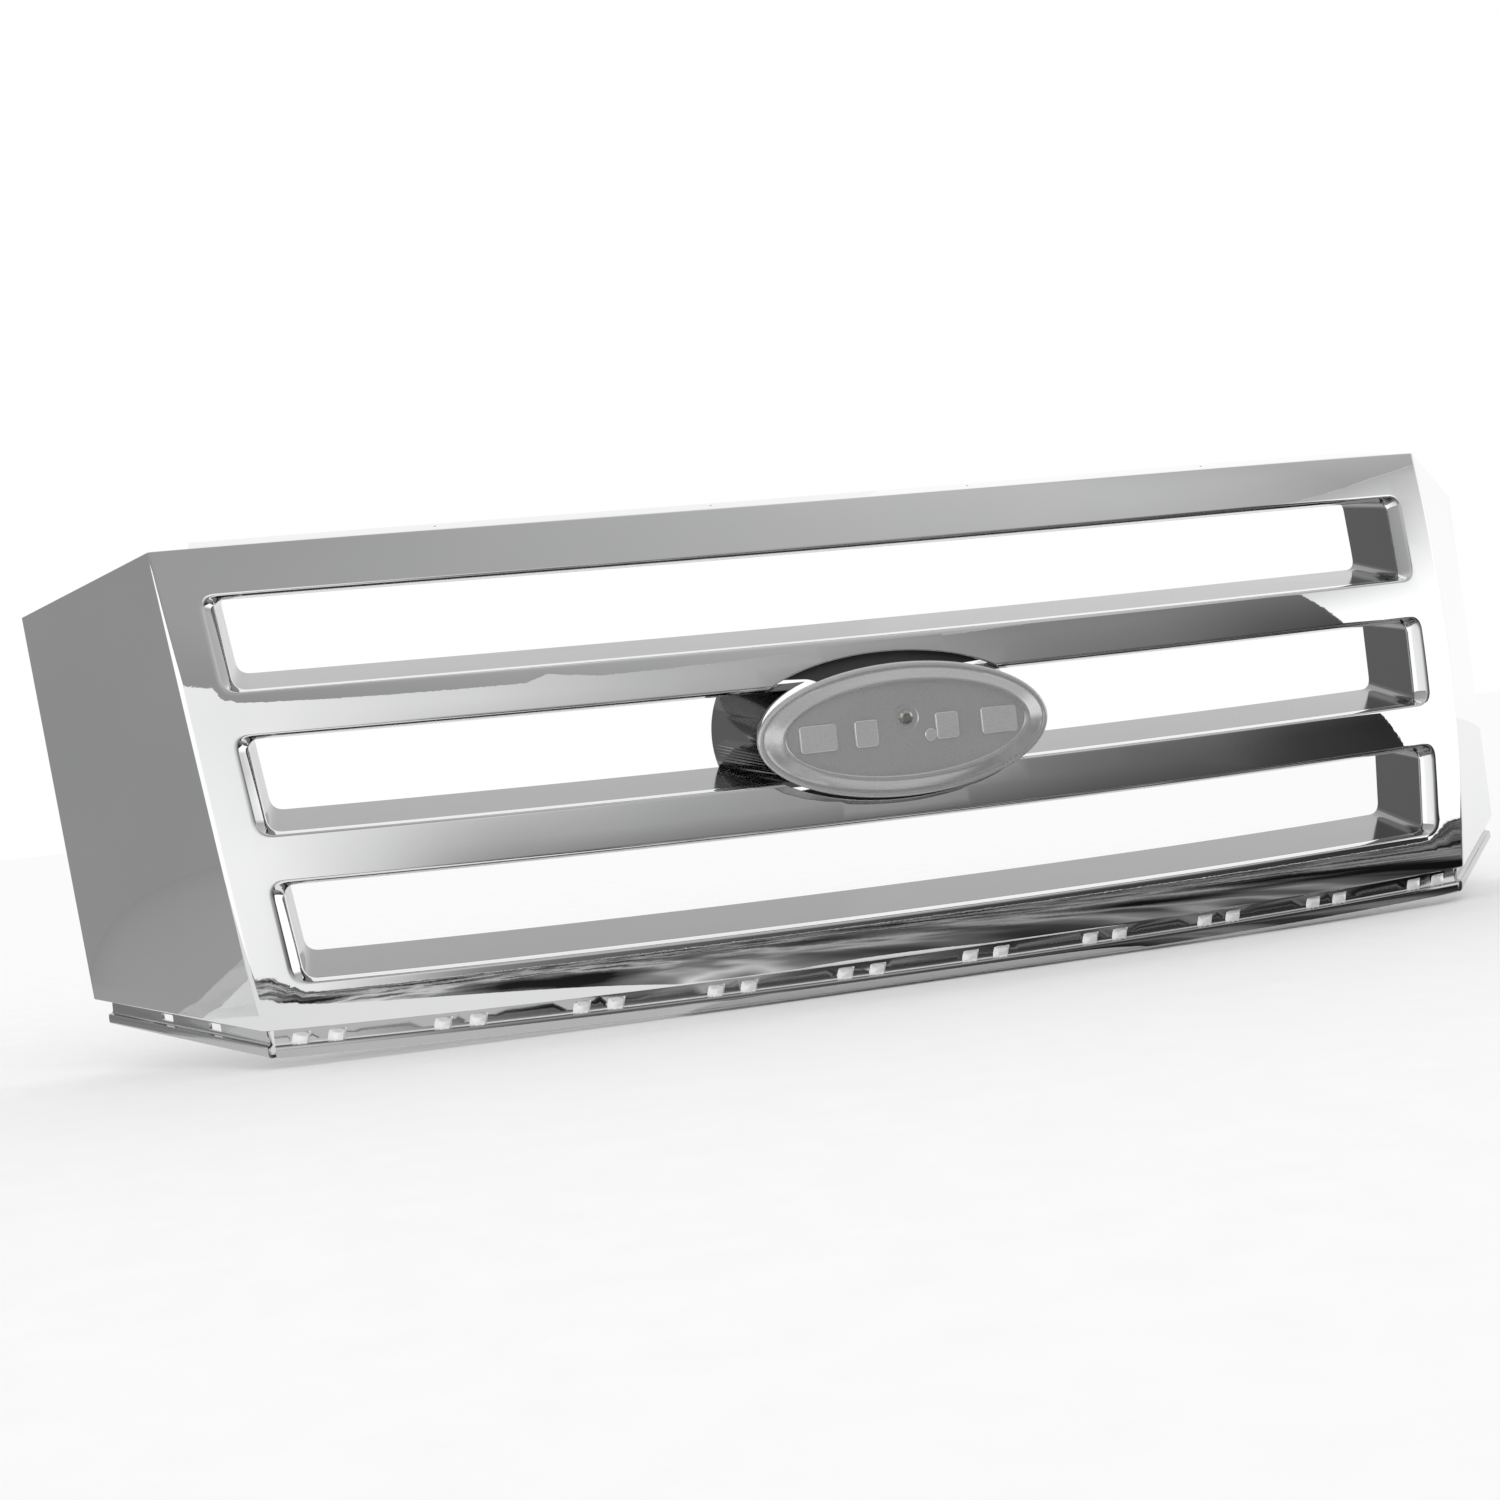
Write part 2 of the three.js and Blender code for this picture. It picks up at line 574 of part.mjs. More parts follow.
function emblemBracket() {
  const { width, height, back, wall } = CUP;
  const front = SHOULDER.depth + BOWED_GAP;
  let body = plate(ellipse(width, height), front, back)
    .subtract(plate(ellipse(width - wall, height - wall), front + WALL, back + 1));
  for (const side of [1, -1]) {
    const corners = [[LUG.root, LUG.foot], [LUG.inner, LUG.near], [LUG.half, LUG.near + 2],
      [LUG.half, LUG.far]].map(([x, y]) => new THREE.Vector2(x, y * side));
    const opposite = corners.map((p) => new THREE.Vector2(-p.x, p.y)).reverse();
    const outline = rounded([...corners, ...opposite], 3, 2);
    body = body.add(plate(side > 0 ? outline : outline.reverse(), front, front + WALL));
  }
  const postFront = SEAT.floor + SEAT.wall + GAP;
  const postBack = front + 1.5;
  const postMiddle = new THREE.Vector3(0, (postFront + postBack) / 2, SEAT_SCREW_RISE);
  let bracket = bend(body).add(rod(postMiddle, OUT_BACK, 6.5, postBack - postFront, 16));
  for (const ear of EARS) bracket = bracket.subtract(rod(earSeat(ear), rearward(...ear), SCREW.hole, 12));
  return bracket.subtract(rod(seatScrew, OUT_FRONT, SCREW.hole * 1.2, 70));
}

addPiece('emblem_bracket', 'structure', emblemBracket());
addScrew('emblem_seat_screw', seatScrew.clone().setY(SEAT.floor + 0.8), OUT_FRONT, 20, 1.2);
EARS.forEach((ear, i) => {
  addScrew(`emblem_bracket_screw_${number(i)}`, earSeat(ear), rearward(...ear), 8);
});

// ---- Top mounting strip --------------------------------------------------------------------------
const tabTop = (x) => stripTop(STRIP.back) - TAB.drop + ARCH * x ** 2;
const tabDepth = (x, depth) => faceDepth(x, tabTop(x)) + depth;

function topStrip() {
  let strip = bend(bar([
    [STRIP.front, stripTop(STRIP.front) - STRIP.thick], [STRIP.back, stripTop(STRIP.back) - STRIP.thick],
    [STRIP.back, stripTop(STRIP.back)], [STRIP.front, stripTop(STRIP.front)],
  ], -STRIP.half, STRIP.half));
  for (const x of TAB_PLACES) {
    const across = [x - TAB.width / 2, x + TAB.width / 2];
    const depth = [tabDepth(x, TAB.start), tabDepth(x, TAB.end)];
    strip = strip.add(block(across, depth, [tabTop(x) - TAB.thick, tabTop(x)]))
      .subtract(block(across, [depth[0], depth[1] + 1], [tabTop(x), tabTop(x) + TAB.clear]));
    if (x !== 0) {
      const hole = new THREE.Vector3(x, tabDepth(x, TAB.end - 10), tabTop(x));
      strip = strip.subtract(rod(hole, OUT_TOP, TAB.hole, 12));
    }
  }
  for (const x of STRIP_SCREWS) strip = strip.subtract(rod(stripScrewSeat(x), flangeOut, SCREW.hole, 20));
  return strip;
}

addPiece('top_mount_strip', 'structure', topStrip());
STRIP_SCREWS.forEach((x, i) => {
  addScrew(`top_strip_screw_${number(i)}`, stripScrewSeat(x), flangeOut.clone().negate(), 6.2);
});

TAB_PLACES.filter((x) => x !== 0).forEach((x, i) => {
  const middle = new THREE.Vector3(0, tabDepth(x, TAB.end - 10), tabTop(x) - TAB.thick - GAP);
  const collar = rod(middle.clone().setZ(middle.z - NUT.collar / 2), OUT_TOP, NUT.spread, NUT.collar, 24);
  const hexagon = rod(middle.clone().setZ(middle.z - NUT.height / 2), OUT_TOP, NUT.corner, NUT.height, 6);
  const nut = collar.add(hexagon).subtract(rod(middle, OUT_TOP, NUT.bore, 30));
  addPiece(`top_tab_nut_${number(i)}`, 'steel', nut).position.x = x;
});

// ---- Bottom stiffener and its spring clips -------------------------------------------------------
function stiffener() {
  const { half, front, back, thick, foot, top } = STIFFENER;
  let body = bend(bar([
    [front, foot], [back, foot], [back, foot + thick],
    [front + thick, foot + thick], [front + thick, top], [front, top],
  ], -half, half));
  for (const x of STIFFENER_SCREWS) {
    body = body.subtract(rod(stiffenerScrewSeat(x), rearward(x, STIFFENER.screws), SCREW.hole, 12));
  }
  return body;
}

addPiece('bottom_stiffener', 'structure', stiffener());
STIFFENER_SCREWS.forEach((x, i) => {
  addScrew(`bottom_stiffener_screw_${number(i)}`, stiffenerScrewSeat(x), rearward(x, STIFFENER.screws), 4.6);
});
CLIP_PLACES.forEach((x, i) => {
  const clip = foldedClip(FACE_BOTTOM, STIFFENER.foot + STIFFENER.thick, STIFFENER.back, 14, 14);
  addPiece(`bottom_spring_clip_${number(i)}`, 'steel', bend(clip.translate([x, 0, 0])));
});

// ---- Lower rail ----------------------------------------------------------------------------------
function railFront() {
  let rail = bend(bar(RAIL, -RAIL_HALF, RAIL_HALF));
  for (let pair = 0.5; pair < RIB_PAIRS; pair++) {
    for (const middle of [-pair * RIB_PITCH, pair * RIB_PITCH]) {
      for (const x of [middle - RIB_SPREAD / 2, middle + RIB_SPREAD / 2]) {
        const rib = prism([[x - 7, 6], [x + 4, 2.2], [x + 6, 6]], -174.6, -166);
        rail = rail.add(bend(rib));
      }
    }
  }
  return rail;
}

/** The rail's return under the right-hand wing, with two notches through its recessed face. */
function railReturn() {
  const below = (millimetres) => -millimetres / (FACE_TOP - FACE_BOTTOM);
  const upper = wingSheet([0.02, 0.93], [below(10), below(0.4)], 4, 6.5, 3, 1);
  const lower = wingSheet([0.02, 0.95], [below(19), below(9)], 1, 6.5, 3, 1);
  const notch = (s) => wingSheet([s, s + 0.07], [below(7.5), below(2.5)], 2, 9, 1, 1);
  return upper.add(lower).subtract(notch(0.28)).subtract(notch(0.56));
}

addPiece('lower_rail_front', 'chrome', railFront());
addPiece('lower_rail_right', 'chrome', railReturn());
addPiece('lower_rail_left', 'chrome', mirrored(railReturn()));

// ---- Side brackets -------------------------------------------------------------------------------
function sideBracket() {
  const leaf = wingSheet(BRACKET.s, BRACKET.t, WALL + GAP, WALL * 2 + GAP, 1, 4);
  const tabDepths = [BRACKET.tabFront, BRACKET.tabFront + WALL];
  const tab = block([BRACKET.tabInner, 560], tabDepths, BRACKET.tab);
  const outside = wingSheet([-0.3, 1.3], [0.2, 0.8], -60, WALL + GAP, 2, 8);
  let bracket = leaf.add(tab.subtract(outside));
  for (const at of bracketScrews) {
    bracket = bracket.subtract(rod(bracketScrewSeat(at), bracketOut, SCREW.hole, 9));
  }
  const bolt = new THREE.Vector3(BRACKET.tabInner + 14, BRACKET.tabFront, BRACKET.tab[0] + 14);
  return bracket.subtract(rod(bolt, OUT_BACK, TAB.hole, 12));
}

const rightBracket = sideBracket();
addPiece('side_bracket_right', 'steel', rightBracket);
addPiece('side_bracket_left', 'steel', mirrored(rightBracket));
for (const [side, word] of [[1, 'right'], [-1, 'left']]) {
  bracketScrews.forEach((at, i) => {
    const seat = bracketScrewSeat(at);
    const out = bracketOut.clone();
    seat.x *= side;
    out.x *= side;
    addScrew(`side_bracket_screw_${word}_${number(i)}`, seat, out, 4.6);
  });
}

// The origin is the middle of the centre tab's upper face, where the grille is hung.
const hangDepth = (tabDepth(0, TAB.start) + tabDepth(0, TAB.end)) / 2 + 2;
assembly.position.set(0, -hangDepth, -tabTop(0));

export default grille;
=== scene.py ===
"""Looks of the front grille.

Shapes are worked out in millimetres on the bowed face, then placed in metres.
"""
import json
import math

import bmesh
import bpy
import numpy as np
from mathutils import Matrix, Vector
from mathutils.geometry import tessellate_polygon


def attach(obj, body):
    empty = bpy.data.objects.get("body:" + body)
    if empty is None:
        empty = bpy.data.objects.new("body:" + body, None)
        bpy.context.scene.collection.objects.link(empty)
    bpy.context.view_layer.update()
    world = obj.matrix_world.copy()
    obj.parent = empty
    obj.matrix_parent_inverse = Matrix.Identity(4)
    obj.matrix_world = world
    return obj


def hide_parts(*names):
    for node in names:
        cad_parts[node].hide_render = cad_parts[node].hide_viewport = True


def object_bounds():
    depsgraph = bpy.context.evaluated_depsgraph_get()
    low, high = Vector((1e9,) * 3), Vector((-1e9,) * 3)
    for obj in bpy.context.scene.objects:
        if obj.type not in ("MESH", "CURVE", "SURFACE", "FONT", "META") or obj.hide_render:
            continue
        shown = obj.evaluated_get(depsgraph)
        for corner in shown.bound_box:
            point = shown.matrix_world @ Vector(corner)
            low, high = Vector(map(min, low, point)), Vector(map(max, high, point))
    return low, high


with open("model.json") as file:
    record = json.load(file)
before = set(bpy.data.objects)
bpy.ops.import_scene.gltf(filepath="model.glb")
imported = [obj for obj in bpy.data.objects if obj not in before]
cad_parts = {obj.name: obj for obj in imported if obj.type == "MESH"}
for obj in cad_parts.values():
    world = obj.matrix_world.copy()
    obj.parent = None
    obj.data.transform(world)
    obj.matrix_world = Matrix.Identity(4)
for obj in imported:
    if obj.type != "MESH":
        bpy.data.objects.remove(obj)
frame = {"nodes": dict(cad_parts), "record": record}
CAD_LOW, CAD_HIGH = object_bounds()

# ---- Dimensions of the grille, as in the CAD model (mm) ------------------------------------------
BOW, SWEEP, LEAN, CROWN, ARCH = 0.0811e-3, 0.348e-9, 0.1833, 0.584e-3, 25e-6
CREASE, CREASE_SLOPE = 476.0, 0.128
FACE_TOP, FACE_BOTTOM, WALL = 168.8, -163.0, 3.0
SLOT_END = 450.0
SLOTS = {"upper": (64.2, 133.5), "middle": (-34.0, 34.7), "lower": (-133.4, -65.1)}
RIM_RADIUS, HOLE_RADIUS, RIM_ROUND = 12.0, 9.0, 1.8
SHOULDER, SHOULDER_DEPTH = {"end": 9.0, "bottom": 2.2, "top": 2.7}, 8.0
THROAT, THROAT_DEPTH = {"end": 14.6, "bottom": 16.6, "top": -6.0}, 62.0
LINER_WALL, LINER_GAP, LINER_LIP = 2.5, 0.7, 5.0
COLLAR_FRONT, COLLAR_BACK = (99.0, 46.0), (119.0, 92.0)
CUTOUT = (113.0, 52.5)
SEAT, SEAT_PLAN, SEAT_DROP = (107.5, 47.0), (91.0, 35.0), 4.0
SEAT_RIM, SEAT_LIP, SEAT_FLOOR = -23.0, -30.0, -27.0
PADS = [(-65.0, 27.0), (-30.0, 17.0), (29.5, 17.0), (68.5, 27.0)]
PAD_HEIGHT, PAD_RISE, PAD_CENTRE = 19.0, 1.4, -4.5
SEAT_SCREW_RISE = 4.0
NECK, NECK_BACK = (15.0, 7.0), 32.0
EARS = [(-80.0, 49.0), (80.0, 49.0), (-80.0, -47.0), (80.0, -47.0)]
WING_TOP = np.array([593.5, 188.5, 146.4])
WING_FOOT = np.array([568.5, 140.0, -132.7])
WING_SPAN = 190.0
FLANGE_HALF, FLANGE_DEPTH, FLANGE_RISE = 470.0, 30.0, 8.0
SHELF_HALF, SHELF_DEPTH = 440.0, 24.0
RAIL_HALF, RAIL_FACE, RAIL_NOSE, RAIL_BACK, RAIL_TAIL = 448.5, 5.5, 1.5, 8.0, 18.0
RAIL_TOP, RAIL_STEP, RAIL_FOOT, RAIL_HEM = -163.4, -173.3, -182.0, -179.5
RIB_PITCH, RIB_SPREAD, RIB_PAIRS = 93.2, 23.5, 5
STRIP_BACK, TAB_START, TAB_END, TAB_DROP = 34.0, 31.0, 58.0, 1.5
EDGE = 1.3       # radius of the moulded outer edges
CREASE_ROUND = 2.6
SLICE = 16      # distance between the joints that let a flat solid follow the bow
MM = 0.001


# ---- The bowed face ------------------------------------------------------------------------------
def face_depth(x, z):
    return BOW * x**2 + SWEEP * x**4 + LEAN * z + CROWN * z**2


def tab_top(x):
    slope = FLANGE_RISE / FLANGE_DEPTH
    return FACE_TOP + slope * STRIP_BACK - WALL - 0.45 - TAB_DROP + ARCH * x**2


HANG_DEPTH = face_depth(0, tab_top(0)) + (TAB_START + TAB_END) / 2 + 2
ROW = np.array([0.0, -HANG_DEPTH, -tab_top(0)])


def row(points):
    """From millimetres on the face to metres in the row frame."""
    return (np.asarray(points, float) + ROW) * MM


def bent(p):
    """From flat coordinates (across, depth, height) to the bowed face."""
    u, w, v = p.T
    z = v + ARCH * u**2
    return np.stack([u, face_depth(u, z) + w, z], 1)


def crease_at(height):
    return CREASE + CREASE_SLOPE * height


def wing_point(s, t, sunk):
    """A point on the right-hand wing: s from crease to rear edge, t from foot to top, sunk inwards."""
    height = FACE_BOTTOM + (FACE_TOP - FACE_BOTTOM) * t
    front = bent(np.stack([crease_at(height), 0 * height, height], 1))
    rear = WING_FOOT + (WING_TOP - WING_FOOT) * t[:, None]
    along = rear - front
    inward = np.stack([-along[:, 1], along[:, 0], 0 * height], 1)
    inward /= np.linalg.norm(inward, axis=1)[:, None]
    return front + along * s[:, None] + inward * sunk[:, None]


def shell_map(p):
    """The bowed face and, past the crease, the swept-back wings, with a small radius between them."""
    side = np.where(p[:, 0] < 0, -1.0, 1.0)
    u, w, v = np.abs(p[:, 0]), p[:, 1], p[:, 2]
    past = u - crease_at(v)
    t = (v - FACE_BOTTOM) / (FACE_TOP - FACE_BOTTOM)
    out = bent(np.stack([u, w, v], 1))
    wing = wing_point(past / WING_SPAN, t, w)
    out[past > 0] = wing[past > 0]
    near = np.abs(past) < CREASE_ROUND
    if near.any():
        r, vn, wn, tn = CREASE_ROUND, v[near], w[near], t[near]
        c = crease_at(vn)
        p0 = bent(np.stack([c - r, wn, vn], 1))
        t0 = p0 - bent(np.stack([c - r - 1, wn, vn], 1))
        p1 = wing_point(np.full(len(vn), r / WING_SPAN), tn, wn)
        t1 = wing_point(np.full(len(vn), (r + 1) / WING_SPAN), tn, wn) - p1
        gap = p1 - p0
        reach = (gap[:, 0] * t1[:, 1] - gap[:, 1] * t1[:, 0]) / (t0[:, 0] * t1[:, 1] - t0[:, 1] * t1[:, 0])
        corner = p0 + t0 * reach[:, None]
        k = ((past[near] + r) / (2 * r))[:, None]
        out[near] = (1 - k) ** 2 * p0 + 2 * k * (1 - k) * corner + k**2 * p1
    out[:, 0] *= side
    return out


# ---- Flat solids -----------------------------------------------------------------------------
def new_mesh(verts, faces):
    mesh = bpy.data.meshes.new("flat")
    mesh.from_pydata([tuple(map(float, v)) for v in verts], [], [tuple(map(int, f)) for f in faces])
    return mesh


def capped(rings):
    """A closed solid through rings of points of equal count, with flat ends."""
    count = len(rings[0])
    verts = [p for ring in rings for p in ring]
    faces = []
    for r in range(len(rings) - 1):
        for i in range(count):
            j = (i + 1) % count
            a, b = r * count, (r + 1) * count
            faces.append((a + i, a + j, b + j, b + i))
    for base, flip in ((0, True), ((len(rings) - 1) * count, False)):
        for tri in tessellate_polygon([[Vector(p) for p in verts[base:base + count]]]):
            faces.append([base + k for k in (reversed(tri) if flip else tri)])
    mesh = new_mesh(verts, faces)
    bm = bmesh.new()
    bm.from_mesh(mesh)
    bmesh.ops.recalc_face_normals(bm, faces=bm.faces)
    bmesh.ops.triangulate(bm, faces=bm.faces)
    bm.to_mesh(mesh)
    bm.free()
    return mesh


def ring_stack(rings):
    """Outlines in (across, height), each with its depth or a depth per point."""
    out = []
    for outline, depth in rings:
        depths = np.broadcast_to(depth, (len(outline),))
        out.append([(x, d, z) for (x, z), d in zip(outline, depths)])
    return capped(out)


def plate(outline, front, back):
    return ring_stack([(outline, front), (outline, back)])


def bar(section, left, right):
    """A section in (depth, height) drawn across from left to right."""
    return capped([[(x, d, h) for d, h in section] for x in (left, right)])


def combine(mesh, others, operation):
    """Joins or cuts closed meshes."""
    keeper = bpy.data.objects.new("keeper", mesh)
    bpy.context.scene.collection.objects.link(keeper)
    tools = []
    for other in others:
        tool = bpy.data.objects.new("tool", other)
        bpy.context.scene.collection.objects.link(tool)
        step = keeper.modifiers.new("step", "BOOLEAN")
        step.operation, step.solver, step.object = operation, "MANIFOLD", tool
        tools.append(tool)
    bpy.context.view_layer.update()
    result = bpy.data.meshes.new_from_object(keeper.evaluated_get(bpy.context.evaluated_depsgraph_get()))
    for o in [keeper, *tools]:
        bpy.data.objects.remove(o)
    return result


def add(mesh, *others):
    return combine(mesh, others, "UNION")


def cut(mesh, *others):
    return combine(mesh, others, "DIFFERENCE")


def stations(low=-640, high=640):
    """Places across the grille where a solid gets its joints."""
    return np.arange(low, high + 1, SLICE)


def sliced(mesh, across=(), levels=(), planes=()):
    """Adds joints across the mesh so that it can follow a curve."""
    bm = bmesh.new()
    bm.from_mesh(mesh)
    bmesh.ops.dissolve_limit(bm, angle_limit=math.radians(0.05), verts=bm.verts, edges=bm.edges)
    cuts = [((x, 0, 0), (1, 0, 0)) for x in across]
    cuts += [((0, 0, z), (0, 0, 1)) for z in levels]
    cuts += list(planes)
    for place, normal in cuts:
        bmesh.ops.bisect_plane(bm, geom=bm.verts[:] + bm.edges[:] + bm.faces[:], dist=1e-4,
                               plane_co=place, plane_no=normal)
    bmesh.ops.triangulate(bm, faces=bm.faces)
    bm.to_mesh(mesh)
    bm.free()
    return mesh


def follow(mesh, place, sharp=28.0):
    """Moves a flat mesh through `place` and carries its normals along exactly."""
    mesh.shade_smooth()
    mesh.set_sharp_from_angle(angle=math.radians(sharp))
    count = len(mesh.vertices)
    co = np.empty(count * 3)
    mesh.vertices.foreach_get("co", co)
    co = co.reshape(-1, 3)
    normals = np.empty(len(mesh.loops) * 3)
    mesh.corner_normals.foreach_get("vector", normals)
    normals = normals.reshape(-1, 3)
    at = np.empty(len(mesh.loops), int)
    mesh.loops.foreach_get("vertex_index", at)
    step = 0.02
    axes = []
    for axis in np.eye(3):
        axes.append((place(co + axis * step) - place(co - axis * step)) / (2 * step))
    a, b, c = (x[at] for x in axes)
    turned = (normals[:, :1] * np.cross(b, c) + normals[:, 1:2] * np.cross(c, a)
              + normals[:, 2:] * np.cross(a, b))
    turned /= np.linalg.norm(turned, axis=1)[:, None]
    mesh.vertices.foreach_set("co", row(place(co)).ravel())
    mesh.update()
    mesh.normals_split_custom_set([tuple(n) for n in turned])
    return mesh


def piece(name, mesh, node, material):
    """Adds a finished mesh to the object in place of a CAD node."""
    mesh.name = name
    mesh.materials.clear()
    mesh.materials.append(material)
    o = bpy.data.objects.new(name, mesh)
    bpy.context.scene.collection.objects.link(o)
    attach(o, "root")
    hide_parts(node)
    return o


# ---- Outlines ------------------------------------------------------------------------------------
def rounded(corners, radius, steps=7):
    corners = [np.array(c, float) for c in corners]
    out = []
    for i, corner in enumerate(corners):
        before, after = corners[i - 1], corners[(i + 1) % len(corners)]
        start = corner + (before - corner) / np.linalg.norm(before - corner) * radius
        end = corner + (after - corner) / np.linalg.norm(after - corner) * radius
        for k in np.linspace(0, 1, steps + 1):
            out.append(tuple((1 - k) ** 2 * start + 2 * k * (1 - k) * corner + k**2 * end))
    return out


def ellipse(width, height, steps=96, rise=0.0, centre=0.0):
    angles = np.arange(steps) * 2 * math.pi / steps
    return [(centre + width * math.cos(a), rise + height * math.sin(a)) for a in angles]


def slot_corners(slot, inset):
    """Lower and upper height of a slot, and how far its end reaches at each of them."""
    low, high = slot[0] + inset["bottom"], slot[1] - inset["top"]
    lower = SLOT_END + CREASE_SLOPE * low - inset["end"]
    upper = SLOT_END + CREASE_SLOPE * high - inset["end"]
    return low, high, lower, upper


def slot_outline(slot, inset, radius):
    """A slot right across the face, drawn in from its rim by the inset."""
    low, high, lower, upper = slot_corners(slot, inset)
    return rounded([(-lower, low), (lower, low), (upper, high), (-upper, high)], radius)


def half_slot_outline(slot, inset, radius, side, oval):
    """Half of the middle slot, from its outer end to the oval collar."""
    low, high, lower, upper = slot_corners(slot, inset)
    start = oval[0] + inset["collar"]
    steps = 7
    outer = rounded([(start, low), (lower, low), (upper, high), (start, high)], radius, steps)
    outer = outer[steps + 1:3 * (steps + 1)]
    inner = []
    for height in np.linspace(high, low, 25):
        inner.append((start * math.sqrt(1 - (height / oval[1]) ** 2), height))
    outline = outer + inner
    return outline if side > 0 else [(-x, z) for x, z in reversed(outline)]


LINERS = {
    "upper": lambda inset, oval: slot_outline(SLOTS["upper"], inset, HOLE_RADIUS),
    "middle_left": lambda inset, oval: half_slot_outline(SLOTS["middle"], inset, HOLE_RADIUS, -1, oval),
    "middle_right": lambda inset, oval: half_slot_outline(SLOTS["middle"], inset, HOLE_RADIUS, 1, oval),
    "lower": lambda inset, oval: slot_outline(SLOTS["lower"], inset, HOLE_RADIUS),
}


def drawn_in(station, extra=0.0, share=1.0):
    """The inset at a station, or part of the way there from the rim, with the same extra all round."""
    return dict({side: reach * share + extra for side, reach in station.items()}, collar=extra)


def bezier(a, b, c, steps):
    for k in np.linspace(0, 1, steps + 1):
        yield [(1 - k) ** 2 * p + 2 * k * (1 - k) * q + k**2 * r for p, q, r in zip(a, b, c)]


def opening_cutter(slot):
    """The hole of one slot: a rounded rim that runs into the throat."""
    rings = []

    def ring(share, extra, depth, drop):
        inset = drawn_in(SHOULDER, extra, share)
        inset["bottom"] = extra + SHOULDER["bottom"] * drop
        rings.append((slot_outline(slot, inset, RIM_RADIUS + (HOLE_RADIUS - RIM_RADIUS) * share), depth))

    ring(0.0, -RIM_ROUND, -1.0, 0.0)
    for extra, share, depth in bezier((-RIM_ROUND, 0.0, 0.0), (0.0, 0.05, 0.0), (0.0, 0.22, 1.2), 6):
        ring(share, extra, depth, share)
    for share, depth in bezier((0.62, 4.0), (0.96, 6.8), (1.0, SHOULDER_DEPTH), 5):
        ring(share, 0.0, depth, share)
    ring(1.0, 0.0, SHOULDER_DEPTH + 1, 1.0)
    return ring_stack(rings)


# ---- Procedural materials ----------------------------------------------------------------------
def material(name):
    m = bpy.data.materials.new(name)
    m.use_nodes = True
    nodes, links = m.node_tree.nodes, m.node_tree.links
    nodes.clear()
    out = nodes.new("ShaderNodeOutputMaterial")
    shader = nodes.new("ShaderNodeBsdfPrincipled")
    links.new(shader.outputs["BSDF"], out.inputs["Surface"])
    return m, nodes, links, shader


def noise(nodes, links, scale, detail=4.0, stretch=(1, 1, 1)):
    """Noise in the object's own coordinates."""
    where = nodes.new("ShaderNodeTexCoord")
    turn = nodes.new("ShaderNodeMapping")
    turn.inputs["Scale"].default_value = stretch
    tex = nodes.new("ShaderNodeTexNoise")
    tex.inputs["Scale"].default_value = scale
    tex.inputs["Detail"].default_value = detail
    links.new(where.outputs["Object"], turn.inputs["Vector"])
    links.new(turn.outputs["Vector"], tex.inputs["Vector"])
    return tex.outputs["Fac"]


def ramp(nodes, links, factor, stops):
    """Maps a factor onto colours; stops are (place, grey or colour)."""
    node = nodes.new("ShaderNodeValToRGB")
    while len(node.color_ramp.elements) > 1:
        node.color_ramp.elements.remove(node.color_ramp.elements[0])
    for i, (place, tone) in enumerate(stops):
        element = node.color_ramp.elements[0] if i == 0 else node.color_ramp.elements.new(place)
        element.position = place
        element.color = (*tone, 1) if isinstance(tone, tuple) else (tone, tone, tone, 1)
    links.new(factor, node.inputs["Fac"])
    return node.outputs["Color"]


def bump(nodes, links, height, strength, distance):
    node = nodes.new("ShaderNodeBump")
    node.inputs["Strength"].default_value = strength
    node.inputs["Distance"].default_value = distance
    links.new(height, node.inputs["Height"])
    return node.outputs["Normal"]


def chrome(name, tone=0.82, rough=(0.035, 0.075), peel=0.05):
    """Bright plating: mirror smooth, with a faint haze, wiping marks and the least orange peel."""
    m, nodes, links, shader = material(name)
    haze = noise(nodes, links, scale=9.0, detail=6.0)
    shader.inputs["Metallic"].default_value = 1.0
    hazy = (tone * 0.965, tone * 0.97, tone * 0.975)
    links.new(ramp(nodes, links, haze, [(0.3, hazy), (0.7, tone)]), shader.inputs["Base Color"])
    wipe = noise(nodes, links, scale=60.0, detail=5.0, stretch=(0.25, 1.0, 1.0))
    links.new(ramp(nodes, links, wipe, [(0.35, rough[0]), (0.75, rough[1])]), shader.inputs["Roughness"])
    skin = noise(nodes, links, scale=220.0, detail=2.0)
    links.new(bump(nodes, links, skin, strength=peel, distance=0.0002), shader.inputs["Normal"])
    return m


def satin(name, tone, rough=(0.22, 0.36), metallic=0.9):
    """Satin argent paint with fine metallic flake."""
    m, nodes, links, shader = material(name)
    flake = noise(nodes, links, scale=1800.0, detail=2.0)
    cloud = noise(nodes, links, scale=14.0, detail=5.0)
    shader.inputs["Metallic"].default_value = metallic
    links.new(ramp(nodes, links, flake, [(0.3, tone * 0.85), (0.7, tone * 1.1)]), shader.inputs["Base Color"])
    links.new(ramp(nodes, links, cloud, [(0.3, rough[0]), (0.7, rough[1])]), shader.inputs["Roughness"])
    links.new(bump(nodes, links, flake, strength=0.08, distance=0.0002), shader.inputs["Normal"])
    return m


